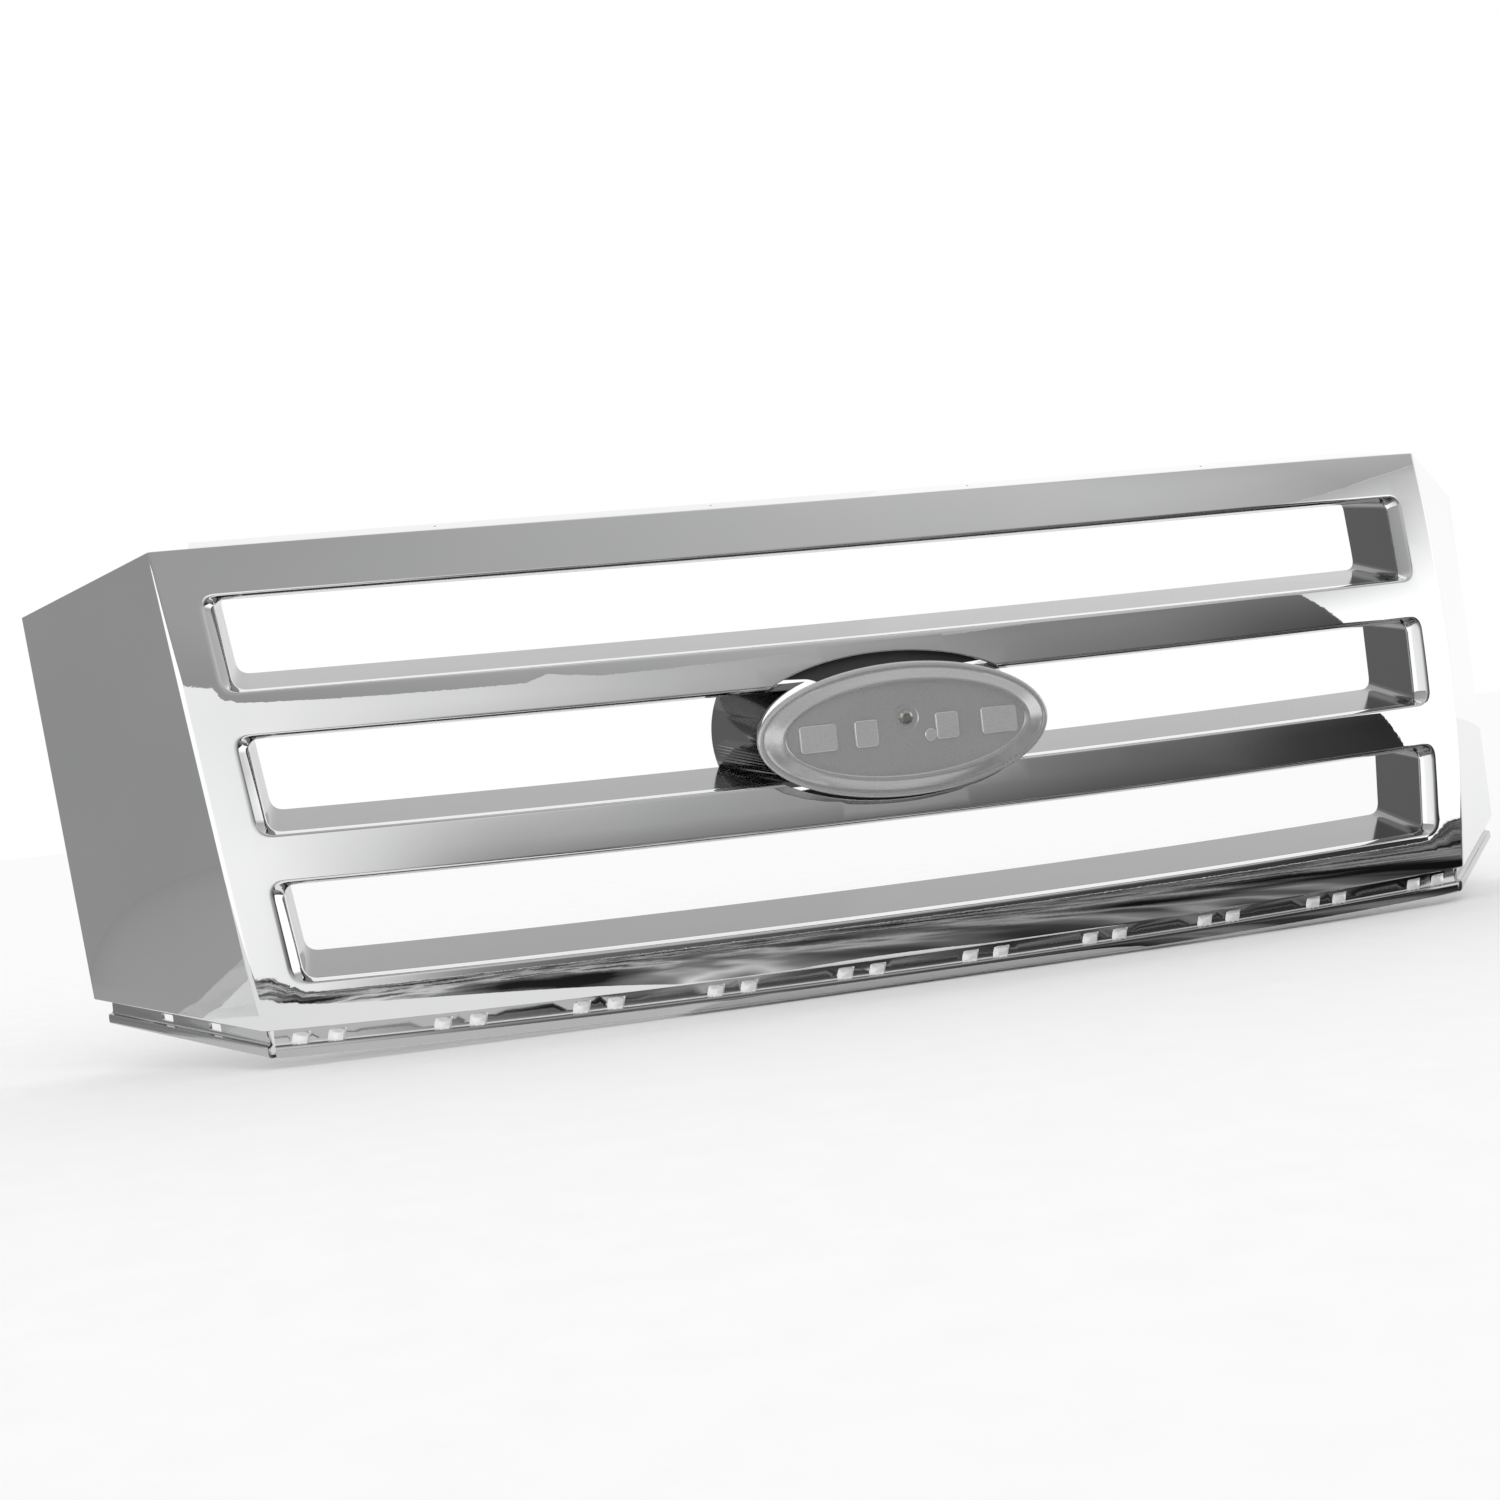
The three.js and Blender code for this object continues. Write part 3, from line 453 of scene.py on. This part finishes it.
def plastic(name, tone=0.022):
    """Black moulded plastic with a fine spark-eroded grain and faint flow marks."""
    m, nodes, links, shader = material(name)
    grain = noise(nodes, links, scale=1400.0, detail=3.0)
    flow = noise(nodes, links, scale=7.0, detail=5.0, stretch=(0.3, 1.0, 1.6))
    links.new(ramp(nodes, links, flow, [(0.3, tone * 0.8), (0.7, tone * 1.35)]), shader.inputs["Base Color"])
    links.new(ramp(nodes, links, grain, [(0.3, 0.42), (0.7, 0.62)]), shader.inputs["Roughness"])
    links.new(bump(nodes, links, grain, strength=0.35, distance=0.0003), shader.inputs["Normal"])
    return m


def zinc(name, tone=(0.62, 0.62, 0.58)):
    """Zinc-plated steel with a faint spangle."""
    m, nodes, links, shader = material(name)
    spangle = noise(nodes, links, scale=320.0, detail=4.0)
    shader.inputs["Metallic"].default_value = 1.0
    darker = tuple(c * 0.72 for c in tone)
    links.new(ramp(nodes, links, spangle, [(0.35, darker), (0.65, tone)]), shader.inputs["Base Color"])
    links.new(ramp(nodes, links, spangle, [(0.3, 0.42), (0.7, 0.24)]), shader.inputs["Roughness"])
    links.new(bump(nodes, links, spangle, strength=0.15, distance=0.0002), shader.inputs["Normal"])
    return m


# The seat, its pads and the rail have tones of their own, set for this room; the liners' darker tone is
# partly their own plate and partly painted shade of the deep slots, and the ribs' brighter tone is a painted
# highlight.
CHROME = chrome("bright_plating", tone=0.82, rough=(0.012, 0.03), peel=0.03)
SEAT_CHROME = satin("bright_plating_seat", tone=0.56, rough=(0.2, 0.3), metallic=0.62)
PAD_CHROME = satin("bright_plating_pads", tone=0.7, rough=(0.2, 0.3), metallic=0.6)
# The ribs' brighter, less metallic plating is a painted highlight.
RIB_PAINTED_HIGHLIGHT = satin("rib_painted_highlight", tone=0.85, rough=(0.12, 0.22), metallic=0.35)
RAIL_CHROME = chrome("bright_plating_rail", tone=0.5, rough=(0.05, 0.1))
# The liners' dark tone is partly their own darker plate and partly painted shade of the deep slots.
LINER_PLATING_AND_PAINTED_SHADE = chrome("liner_plating_and_painted_shade", tone=0.3, rough=(0.1, 0.16), peel=0.012)
BLACK_PLASTIC = plastic("black_plastic", 0.04)
BLACK_STEEL = plastic("black_electrocoat", 0.03)
ZINC = zinc("zinc_steel")


# ---- Front shell ---------------------------------------------------------------------------------
def front_shell():
    top_edge = list(bezier((0, FACE_TOP - EDGE), (0, FACE_TOP), (EDGE, FACE_TOP), 4))
    foot_edge = list(bezier((EDGE, FACE_BOTTOM), (0, FACE_BOTTOM), (0, FACE_BOTTOM + EDGE), 4))
    reach = CREASE + WING_SPAN + 40
    body = bar(foot_edge + top_edge + [(WALL, FACE_TOP), (WALL, FACE_BOTTOM)], -reach, reach)
    slope = FLANGE_RISE / FLANGE_DEPTH
    fold = 2.0
    flange = [(0, FACE_TOP - 12)]
    flange += list(bezier((0, FACE_TOP - EDGE), (0, FACE_TOP), (fold, FACE_TOP + slope * fold), 5))
    flange += [(FLANGE_DEPTH, FACE_TOP + FLANGE_RISE), (FLANGE_DEPTH, FACE_TOP + FLANGE_RISE - WALL),
               (WALL, FACE_TOP - WALL + 0.6), (WALL - 0.5, FACE_TOP - 12)]
    shelf = [(0, FACE_BOTTOM + 12), (0, FACE_BOTTOM + EDGE), (EDGE, FACE_BOTTOM), (SHELF_DEPTH, FACE_BOTTOM),
             (SHELF_DEPTH, FACE_BOTTOM + WALL), (WALL, FACE_BOTTOM + WALL), (WALL - 0.5, FACE_BOTTOM + 12)]
    extras = [bar(flange, -FLANGE_HALF, FLANGE_HALF), bar(shelf, -SHELF_HALF, SHELF_HALF)]
    for slot in SLOTS.values():
        wall = slot_outline(slot, drawn_in(SHOULDER, -LINER_WALL, 0.0), 1.0)
        extras.append(plate(wall, 1.0, SHOULDER_DEPTH))
    for x, z in EARS:
        extras.append(plate(ellipse(5.0, 5.0, 32, z, x), 1.0, SHOULDER_DEPTH))
    body = add(body, *extras)
    cutters = [opening_cutter(slot) for slot in SLOTS.values()]
    oval = [(1.2, -1.0)] + list(bezier((1.2, 0.0), (0.0, 0.0), (0.0, 1.2), 4)) + [(0.0, SHOULDER_DEPTH + 1)]
    cutters.append(ring_stack([
        (ellipse(CUTOUT[0] + grow, CUTOUT[1] + grow, 120), depth) for grow, depth in oval]))
    trim = []
    for side in (-1, 1):
        corners = []
        for height in (FACE_BOTTOM - 20, FACE_TOP + 20):
            corners.append((side * (crease_at(height) + WING_SPAN), height))
        corners += [(side * (reach + 20), FACE_TOP + 20), (side * (reach + 20), FACE_BOTTOM - 20)]
        trim.append(plate(corners, -5, 15))
    body = cut(body, *cutters, *trim)
    planes = []
    for side in (-1, 1):
        for off in np.linspace(-CREASE_ROUND, CREASE_ROUND, 7):
            planes.append(((side * (CREASE + off), 0, 0), (side, 0, -CREASE_SLOPE)))
    body = sliced(body, stations(), np.arange(-150, 160, 20), planes)
    return follow(body, shell_map)


piece("front_shell_skin", front_shell(), "front_shell", CHROME)


# ---- Slot liners ---------------------------------------------------------------------------------
def slot_liner(draw):
    front = SHOULDER_DEPTH + LINER_GAP
    edge = 0.6

    def at_front(extra):
        return draw(drawn_in(SHOULDER, extra), COLLAR_FRONT)

    def at_back(extra):
        return draw(drawn_in(THROAT, extra), COLLAR_BACK)

    body = ring_stack([
        (at_front(-LINER_WALL + edge), front), (at_front(-LINER_WALL), front + edge),
        (at_back(-LINER_WALL), THROAT_DEPTH - edge), (at_back(-LINER_WALL + edge), THROAT_DEPTH)])
    lip = dict(drawn_in(SHOULDER, -LINER_LIP), collar=-LINER_WALL)
    body = add(body, plate(draw(lip, COLLAR_FRONT), front, front + LINER_WALL))
    hollow = ring_stack([
        (at_front(-edge), front - 1), (at_front(-edge), front), (at_front(0.0), front + edge),
        (at_back(0.0), THROAT_DEPTH - edge), (at_back(-edge), THROAT_DEPTH),
        (at_back(-edge), THROAT_DEPTH + 1)])
    body = cut(body, hollow)
    return follow(sliced(body, stations()), bent)


# The liners get the darker plating, which carries painted shade of the deep slots.
for word, draw in LINERS.items():
    piece(f"slot_liner_{word}_skin", slot_liner(draw), f"slot_liner_{word}", LINER_PLATING_AND_PAINTED_SHADE)


# ---- Emblem seat ---------------------------------------------------------------------------------
def emblem_seat():
    width, height = SEAT
    steps = 128

    def oval(less, depth):
        return ellipse(width - less, height - less, steps, -SEAT_DROP), depth

    def between(share, depth, less=0.0):
        """An oval part of the way from the rim to the lip."""
        w = width + (SEAT_PLAN[0] - width) * share - less
        h = height + (SEAT_PLAN[1] - height) * share - less
        return ellipse(w, h, steps, -SEAT_DROP), depth

    def neck(less, depth):
        """An oval of the neck, which narrows towards the rear."""
        share = (depth - SEAT_RIM) / (NECK_BACK - SEAT_RIM)
        return ellipse(width - NECK[0] * share - less, height - NECK[1] * share - less, steps, -SEAT_DROP)

    def seated(outline, behind):
        points = np.array(outline)
        return outline, face_depth(points[:, 0], points[:, 1]) + behind

    outer = [seated(neck(0.0, 7.4), 7.4), (neck(0.0, SEAT_RIM + 1.5), SEAT_RIM + 1.5)]
    outer += [oval(less, depth) for less, depth in
              bezier((0.0, SEAT_RIM + 1.5), (0.0, SEAT_RIM - 0.6), (2.0, SEAT_RIM - 1.0), 5)]
    outer += [oval(3.2, SEAT_RIM - 1.1), oval(3.7, SEAT_RIM - 0.6), oval(4.4, SEAT_RIM - 0.6),
              oval(5.0, SEAT_RIM - 1.3)]
    flank = [(0.45, SEAT_RIM - 2.4), (0.62, SEAT_RIM - 3.6), (0.78, SEAT_RIM - 5.0), (0.9, SEAT_RIM - 6.2)]
    outer += [between(share, depth) for share, depth in flank]
    outer += [between(share, depth) for share, depth in
              bezier((0.95, SEAT_LIP + 0.4), (1.0, SEAT_LIP), (1.03, SEAT_LIP), 3)]
    outer += [between(1.0, SEAT_LIP, 1.4), between(1.0, SEAT_FLOOR - 0.4, 2.2), between(1.0, SEAT_FLOOR, 3.0)]
    body = ring_stack(outer)
    inner = [seated(neck(2.6, 9.0), 9.0), (neck(2.6, SEAT_RIM + 4), SEAT_RIM + 4),
             between(0.5, SEAT_RIM + 1.4, 2.6), between(1.0, SEAT_FLOOR + 2.8, 2.6)]
    body = cut(body, ring_stack(inner))
    extras = []
    for across, pad_width in PADS:
        rings = []
        for less, depth in ((0.0, SEAT_FLOOR + 1), (0.0, SEAT_FLOOR - 0.2),
                            (0.35, SEAT_FLOOR - PAD_RISE + 0.3), (0.7, SEAT_FLOOR - PAD_RISE)):
            w, h = pad_width / 2 - less, PAD_HEIGHT / 2 - less
            corners = [(across - w, PAD_CENTRE - h), (across + w, PAD_CENTRE - h),
                       (across + w, PAD_CENTRE + h), (across - w, PAD_CENTRE + h)]
            rings.append((rounded(corners, 2.5 - less, 5), depth))
        extras.append(ring_stack(rings))
    boss = [(4.5, SEAT_FLOOR + 1), (4.5, SEAT_FLOOR - 0.5), (4.0, SEAT_FLOOR - 0.9)]
    extras.append(ring_stack([(ellipse(r, r, 32, -10.0, 17.0), d) for r, d in boss]))
    body = add(body, *extras)
    sink = [(9.5, SEAT_LIP - 2), (9.5, SEAT_FLOOR - 0.05), (8.6, SEAT_FLOOR + 0.8)]
    body = cut(body, ring_stack([(ellipse(r, r, 48, SEAT_SCREW_RISE), d) for r, d in sink]))
    return follow(sliced(body), lambda p: p, 24.0)


def pads_lit(seat):
    """Gives the machined pads their own brighter finish."""
    seat.data.materials.append(PAD_CHROME)
    faces = row([[0.0, SEAT_FLOOR - 0.25, 0.0]])[0][1]
    reach = row([[PADS[-1][0] + PADS[-1][1] / 2, 0.0, 0.0]])[0][0]
    low, high = (row([[0, 0, PAD_CENTRE + side * PAD_HEIGHT / 2]])[0][2] for side in (-1, 1))
    for polygon in seat.data.polygons:
        c = polygon.center
        if c.y < faces and abs(c.x) < reach and low <= c.z <= high:
            polygon.material_index = 1


pads_lit(piece("emblem_seat_skin", emblem_seat(), "emblem_seat", SEAT_CHROME))


# ---- Lower rail ----------------------------------------------------------------------------------
def rail_section():
    """The rail's profile in (depth, height): recessed face, step, rounded lip and return to the rear."""
    out = [(RAIL_FACE, RAIL_TOP), (RAIL_FACE, -171.2)]
    out += list(bezier((RAIL_FACE, -171.2), (RAIL_FACE, -173.4), (3.2, -173.6), 3))[1:]
    out += list(bezier((3.2, -173.6), (RAIL_NOSE, -173.8), (RAIL_NOSE, -175.6), 3))[1:]
    out += list(bezier((RAIL_NOSE, -179.6), (RAIL_NOSE, RAIL_FOOT), (4.2, RAIL_FOOT), 4))
    out += [(RAIL_TAIL, RAIL_FOOT), (RAIL_TAIL, RAIL_HEM), (4.6, RAIL_HEM), (4.2, -175.6),
            (RAIL_BACK, -173.2), (RAIL_BACK, RAIL_TOP)]
    return out


def rail_front():
    body = bar(rail_section(), -RAIL_HALF, RAIL_HALF)
    ribs = []
    for pair in np.arange(0.5, RIB_PAIRS):
        for middle in (-pair * RIB_PITCH, pair * RIB_PITCH):
            for x in (middle - RIB_SPREAD / 2, middle + RIB_SPREAD / 2):
                ribs.append(rib(x))
    body = add(body, *ribs)
    return follow(sliced(body, stations(-440, 440)), bent)


def rib(x):
    """A rounded tooth on the rail's recessed face."""
    rings = []
    for height, grow in ((-174.6, 0.9), (-173.0, 1.0), (-169.5, 0.95), (-167.0, 0.7), (-165.6, 0.25)):
        lean = (height + 170) * 0.25
        back, tip = 6.2, 6.0 - 3.9 * grow
        side = [(x - 7 + lean, back), (x - 3 + lean, back - (back - tip) * 0.75), (x + 1 + lean, tip),
                (x + 4 + lean, tip + 0.3), (x + 5.5 + lean, back - 1.4), (x + 6 + lean, back)]
        rings.append([(a, d, height) for a, d in side])
    return capped(rings)


def rail_return():
    """The rail's length under the right-hand wing, with two notches in its recessed face."""
    start = CREASE + CREASE_SLOPE * -172 + 1.2
    body = bar(rail_section(), start, start + WING_SPAN * 0.93)
    notches = []
    for s in (0.28, 0.56):
        at = start + WING_SPAN * s
        corners = [(at, -171.0), (at + 13, -171.0), (at + 13, -165.5), (at, -165.5)]
        notches.append(plate(rounded(corners, 1.2), 2, 12))
    return sliced(cut(body, *notches), stations(460, 640))


def mirror_mesh(mesh):
    mesh.transform(Matrix.Scale(-1, 4, (1, 0, 0)))
    mesh.flip_normals()
    return mesh


def ribs_painted_highlight(rail):
    """Gives the ribs, which stand out of the recessed face, a brighter, less metallic plating: a painted
    highlight.
    """
    rail.data.materials.append(RIB_PAINTED_HIGHLIGHT)
    for polygon in rail.data.polygons:
        x, y, z = np.array(polygon.center) / MM - ROW
        if y - face_depth(x, z) < RAIL_FACE - 0.3 and z - ARCH * x**2 > RAIL_STEP:
            polygon.material_index = 1


# The rail's ribs carry a painted highlight.
ribs_painted_highlight(piece("lower_rail_front_skin", rail_front(), "lower_rail_front", RAIL_CHROME))
for side, mesh in (("right", rail_return()), ("left", mirror_mesh(rail_return()))):
    node = f"lower_rail_{side}"
    piece(f"{node}_skin", follow(mesh, shell_map), node, RAIL_CHROME)


# ---- Pieces that keep their CAD shape ------------------------------------------------------------
FINISH = {"bright_plating": CHROME, "black_plastic": BLACK_PLASTIC,
          "black_steel": BLACK_STEEL, "zinc_steel": ZINC}
slots = {s["node"]: s["material_slot"] for s in frame["record"]["subparts"]}
for name, node in frame["nodes"].items():
    node.data.materials.clear()
    node.data.materials.append(FINISH[slots[name]])


# ---- Stage ---------------------------------------------------------------------------------------
CENTRE = (CAD_LOW + CAD_HIGH) / 2
PLATING_GAIN = 0.83


def glow(name, grain=None):
    """Emission from the card's own tones; with grain, broken up into the shapes of a workshop floor."""
    m = bpy.data.materials.new(name)
    m.use_nodes = True
    nodes, links = m.node_tree.nodes, m.node_tree.links
    nodes.clear()
    out = nodes.new("ShaderNodeOutputMaterial")
    light = nodes.new("ShaderNodeEmission")
    tone = nodes.new("ShaderNodeAttribute")
    tone.attribute_name = "tone"
    colour = tone.outputs["Color"]
    if grain:
        scale, stretch, stops = grain
        broken = ramp(nodes, links, noise(nodes, links, scale, detail=3.0, stretch=stretch), stops)
        mix = nodes.new("ShaderNodeMixRGB")
        mix.blend_type = "MULTIPLY"
        mix.inputs["Fac"].default_value = 1.0
        links.new(colour, mix.inputs["Color1"])
        links.new(broken, mix.inputs["Color2"])
        colour = mix.outputs["Color"]
    links.new(colour, light.inputs["Color"])
    links.new(light.outputs["Emission"], out.inputs["Surface"])
    return m


def reflected_only(o):
    """A studio card: the plating mirrors it, and the camera and the soft light don't see it."""
    bpy.context.scene.collection.objects.link(o)
    o.visible_camera = o.visible_diffuse = o.visible_shadow = False
    o.visible_transmission = o.visible_volume_scatter = False
    return o


def brightness(shade):
    """Light for a given display shade (0 to 255) seen in the plating."""
    return (shade / 255) ** 2.2 / PLATING_GAIN


def grid_card(name, place, shade, columns, rows, grain=None):
    """A card over s, t from 0 to 1, with its place and its shade at each point."""
    verts, tones, faces = [], [], []
    for j in range(rows + 1):
        for i in range(columns + 1):
            s, t = i / columns, j / rows
            verts.append(place(s, t))
            tones += [brightness(shade(s, t))] * 3 + [1.0]
    for j in range(rows):
        for i in range(columns):
            k = j * (columns + 1) + i
            faces.append((k, k + 1, k + columns + 2, k + columns + 1))
    mesh = new_mesh(verts, faces)
    mesh.attributes.new("tone", "FLOAT_COLOR", "POINT").data.foreach_set("color", tones)
    mesh.materials.append(glow(name, grain))
    return reflected_only(bpy.data.objects.new(name, mesh))


def steps(stops, value):
    return float(np.interp(value, [a for a, _ in stops], [b for _, b in stops]))


def wall_card(name, az, el, shade, distance=6.0, columns=48, rows=24):
    """A curved card; az and el run in degrees round the grille, and az 0 is straight in front."""
    def angles(s, t):
        e = el[0] + (el[1] - el[0]) * t
        low = az[0] if np.isscalar(az[0]) else steps(az[0], e)
        high = az[1] if np.isscalar(az[1]) else steps(az[1], e)
        return low + (high - low) * s, e

    def place(s, t):
        a, e = (math.radians(x) for x in angles(s, t))
        return (CENTRE.x + distance * math.sin(a) * math.cos(e),
                CENTRE.y - distance * math.cos(a) * math.cos(e), CENTRE.z + distance * math.sin(e))
    return grid_card(name, place, lambda s, t: shade(*angles(s, t)), columns, rows)


HIGH_ROW = [(-40, 238), (-25, 232), (-16, 222), (-5, 211), (3, 193), (9, 178), (15, 164), (23, 148),
            (29, 129), (36, 126), (45, 112)]
MIDDLE_ROW = [(-40, 250), (-25, 240), (-15, 208), (-9, 180), (-5, 166), (3, 161), (11, 149), (20, 134),
              (28, 106), (37, 90), (43, 62), (52, 46)]
LOW_ROW = [(-40, 250), (-22, 235), (-14, 190), (-8, 130), (0, 96), (20, 62), (54, 52)]


def field(a, e):
    """The room in front: light at the left, darker to the right and down."""
    rows = [steps(LOW_ROW, a), steps(MIDDLE_ROW, a), steps(HIGH_ROW, a)]
    return float(np.interp(e, [-2, 11, 28], rows))


CEILING = [(-60, 150), (-25, 156), (0, 165), (20, 175), (33, 183), (43, 187), (52, 181), (62, 170), (80, 180),
           (100, 200)]


def ceiling(a, e):
    lower = 12.0 * max(0.0, 1 - (e - 31) / 8)
    return steps(CEILING, a) - lower + 12.0 * max(0.0, (e - 55) / 35)


# Edges of the room in degrees: two elevations, one azimuth, and lists of (elevation, azimuth)
CORNICE, SKIRTING, WINDOW_END = 31.2, -6, -40
FRONT_END = [(SKIRTING, 54.5), (8, 53), (14, 52.3), (CORNICE, 50)]
WINDOW_START = [(-20, -92), (10, -90), (24, -83), (CORNICE, -83)]


def left_wall(a, e):
    return 144 - 6 * math.cos(math.radians(3 * a))


def window(a, e):
    return float(np.interp(e, [-12, -4], [218, 258]))


def right_wall(a, e):
    return float(np.interp(e, [20, 22, 27, 31], [262, 250, 210, 174]))


wall_card("room_front", (WINDOW_END, FRONT_END), (SKIRTING, CORNICE), field, columns=60, rows=48)
wall_card("room_ceiling", (-100, 100), (CORNICE, 88), ceiling, 6.1)
wall_card("room_left", (-150, WINDOW_START), (-20, CORNICE), left_wall)
wall_card("room_window", (WINDOW_START, WINDOW_END), (-20, CORNICE), window, 6.2)
wall_card("room_right", (44, 100), (SKIRTING, CORNICE), right_wall, 6.3)
wall_card("room_far_right", (100, 160), (SKIRTING, 60), lambda a, e: 240, 6.3)
wall_card("room_left_high", (-150, -100), (CORNICE, 60), lambda a, e: 160, 6.05)


CARD_LEVEL, PAPER_LEVEL = CAD_LOW.z - 0.001, CAD_LOW.z - 0.002


def floor_left_place(s, t):
    return (-8.0 + 7.38 * s, -0.16 + 3.2 * t, CARD_LEVEL)


grid_card("room_floor_left", floor_left_place, lambda s, t: 132 + 20 * s, 8, 8)


def floor_sector(low, high, reach=5.0):
    """Places on the floor in front of the grille, between two directions."""
    def place(s, t):
        a, r = math.radians(low + (high - low) * s), 0.2 + reach * t**2
        return (r * math.sin(a), -r * math.cos(a), CARD_LEVEL)
    return place


def floor_shade(s, t):
    return float(np.interp(s, [0.0, 0.15, 0.5, 1.0], [190, 165, 128, 120]))


FLOOR_SPLIT = -42
FLOOR_CLUTTER = (5.0, (1.0, 0.3, 1.0), [(0.36, 0.03), (0.43, 0.2), (0.5, 0.5), (0.56, 1.3), (0.62, 0.25)])
grid_card("room_floor_window", floor_sector(-91, FLOOR_SPLIT), lambda s, t: 222, 24, 30)
grid_card("room_floor", floor_sector(FLOOR_SPLIT, 80), floor_shade, 60, 30, FLOOR_CLUTTER)


def floor():
    size = 9.0
    mesh = new_mesh([(-size, -size, 0), (size, -size, 0), (size, size, 0), (-size, size, 0)], [(0, 1, 2, 3)])
    o = bpy.data.objects.new("floor", mesh)
    o.location = (0, 0, PAPER_LEVEL)
    m, nodes, links, shader = material("floor_paper")
    grain = noise(nodes, links, scale=30.0, detail=4.0)
    links.new(ramp(nodes, links, grain, [(0.3, 0.955), (0.7, 0.975)]), shader.inputs["Base Color"])
    shader.inputs["Roughness"].default_value = 1.0
    shader.inputs["Specular IOR Level"].default_value = 0.0
    mesh.materials.append(m)
    bpy.context.scene.collection.objects.link(o)


floor()
world = bpy.data.worlds.new("studio")
bpy.context.scene.world = world
world.use_nodes = True
sky = world.node_tree.nodes["Background"]
sky.inputs["Color"].default_value = (1.0, 1.0, 1.0, 1)
sky.inputs["Strength"].default_value = 1.0

# ---- Camera --------------------------------------------------------------------------------------
EYE = [-448.9, -1345.2, -1.5]        # in mm on the face
LENS, SENSOR = 47.73, 36.0
ACROSS = Vector((0.96344, -0.24503, -0.10837))
UPWARD = Vector((0.10601, -0.02285, 0.99410))
camera = bpy.data.objects.new("camera", bpy.data.cameras.new("camera"))
camera.data.lens, camera.data.sensor_width = LENS, SENSOR
back = ACROSS.cross(UPWARD).normalized()
up = back.cross(ACROSS).normalized()
turn = Matrix((ACROSS.normalized(), up, back)).transposed().to_4x4()
camera.matrix_world = Matrix.Translation(Vector(row(EYE))) @ turn
bpy.context.scene.collection.objects.link(camera)
bpy.context.scene.camera = camera
bpy.context.scene.view_settings.view_transform = "Standard"

bpy.context.view_layer.update()
